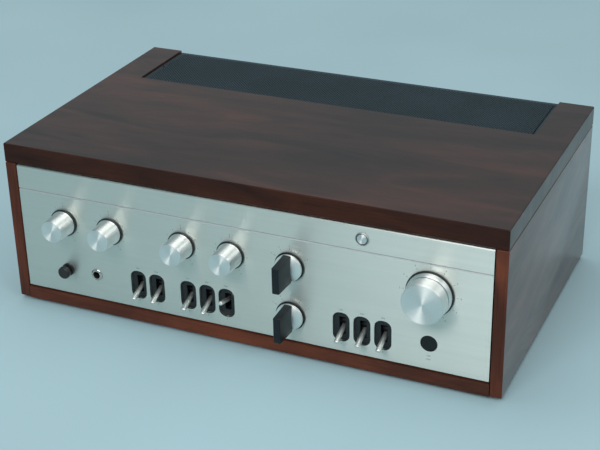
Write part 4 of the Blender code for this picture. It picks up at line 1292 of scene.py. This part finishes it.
lamps = {
    "windowLight": {"place": (0.15, -2.0, 1.75), "aim": (0.0, 0.0, 0.1), "size": (1.5, 0.9),
                    "power": 32.0},
    "rightLight": {"place": (1.75, -0.95, 1.35), "aim": (0.0, 0.0, 0.1), "size": (1.0, 1.0),
                   "power": 11.0},
    "ceilingLight": {"place": (-0.4, 0.6, 2.3), "aim": (0.0, 0.0, 0.0), "size": (2.2, 2.2),
                     "power": 18.0},
}


def makeFloor():
    bm = bmesh.new()
    bmesh.ops.create_grid(bm, x_segments=1, y_segments=1, size=stageLook["size"] / 2.0)
    mesh = bpy.data.meshes.new("floor")
    bm.to_mesh(mesh)
    bm.free()
    floor = bpy.data.objects.new("floor", mesh)
    bpy.context.scene.collection.objects.link(floor)
    work = NodeTree("floorCloth")
    cloud = work.noise(work.mapped(), 3.0, detail=2.0)
    work.feed(Base_Color=work.tones(cloud, stageLook["floor"], 0.96, 1.04), Roughness=0.9,
              Specular_IOR_Level=0.1)
    mesh.materials.append(work.material)


def makeWorld():
    world = bpy.data.worlds.new("room")
    bpy.context.scene.world = world
    world.use_nodes = True
    tree = world.node_tree
    back = tree.nodes["Background"]
    back.inputs["Color"].default_value = (1.0, 1.0, 1.0, 1.0)
    back.inputs["Strength"].default_value = stageLook["ambient"]
    seen = tree.nodes.new("ShaderNodeBackground")
    seen.inputs["Color"].default_value = (*stageLook["sky"], 1.0)
    seen.inputs["Strength"].default_value = 1.0
    # camera, glossy and transmission rays see the pale sky, the rest only the ambient light
    path = tree.nodes.new("ShaderNodeLightPath")
    chosen = path.outputs["Is Camera Ray"]
    for ray in ("Is Glossy Ray", "Is Transmission Ray"):
        either = tree.nodes.new("ShaderNodeMath")
        either.operation = "MAXIMUM"
        tree.links.new(chosen, either.inputs[0])
        tree.links.new(path.outputs[ray], either.inputs[1])
        chosen = either.outputs[0]
    mixed = tree.nodes.new("ShaderNodeMixShader")
    tree.links.new(chosen, mixed.inputs["Fac"])
    tree.links.new(back.outputs["Background"], mixed.inputs[1])
    tree.links.new(seen.outputs["Background"], mixed.inputs[2])
    tree.links.new(mixed.outputs["Shader"], tree.nodes["World Output"].inputs["Surface"])


def addLamp(name, place, aim, size, power):
    lamp = bpy.data.lights.new(name, "AREA")
    lamp.shape = "RECTANGLE"
    lamp.size, lamp.size_y = size
    lamp.energy = power
    holder = bpy.data.objects.new(name, lamp)
    holder.location = place
    away = Vector(place) - Vector(aim)
    holder.rotation_euler = away.to_track_quat("Z", "Y").to_euler()
    bpy.context.scene.collection.objects.link(holder)


cameraLook = {
    "place": (0.48166, -1.06475, 0.64377),
    "azimuth": 24.41,
    "elevation": 26.52,
    "roll": -1.17,
    "lens": 84.21,
    "sensor": 36.0,
}


def makeCamera():
    azimuth, elevation, roll = (math.radians(cameraLook[key])
                                for key in ("azimuth", "elevation", "roll"))
    back = Vector((math.sin(azimuth) * math.cos(elevation),
                   -math.cos(azimuth) * math.cos(elevation), math.sin(elevation)))
    right = (-back).cross(Vector((0.0, 0.0, 1.0))).normalized()
    up = right.cross(-back)
    right, up = (right * math.cos(roll) + up * math.sin(roll),
                 up * math.cos(roll) - right * math.sin(roll))
    data = bpy.data.cameras.new("camera")
    data.sensor_fit = "HORIZONTAL"
    data.sensor_width = cameraLook["sensor"]
    data.lens = cameraLook["lens"]
    camera = bpy.data.objects.new("camera", data)
    matrix = Matrix((right, up, back)).transposed().to_4x4()
    matrix.translation = Vector(cameraLook["place"])
    camera.matrix_world = matrix
    bpy.context.scene.collection.objects.link(camera)
    bpy.context.scene.camera = camera


makeFloor()
makeWorld()
for name, look in lamps.items():
    addLamp(name, **look)
makeCamera()
bpy.context.scene.view_settings.view_transform = "Standard"
print("floor, light and camera made")
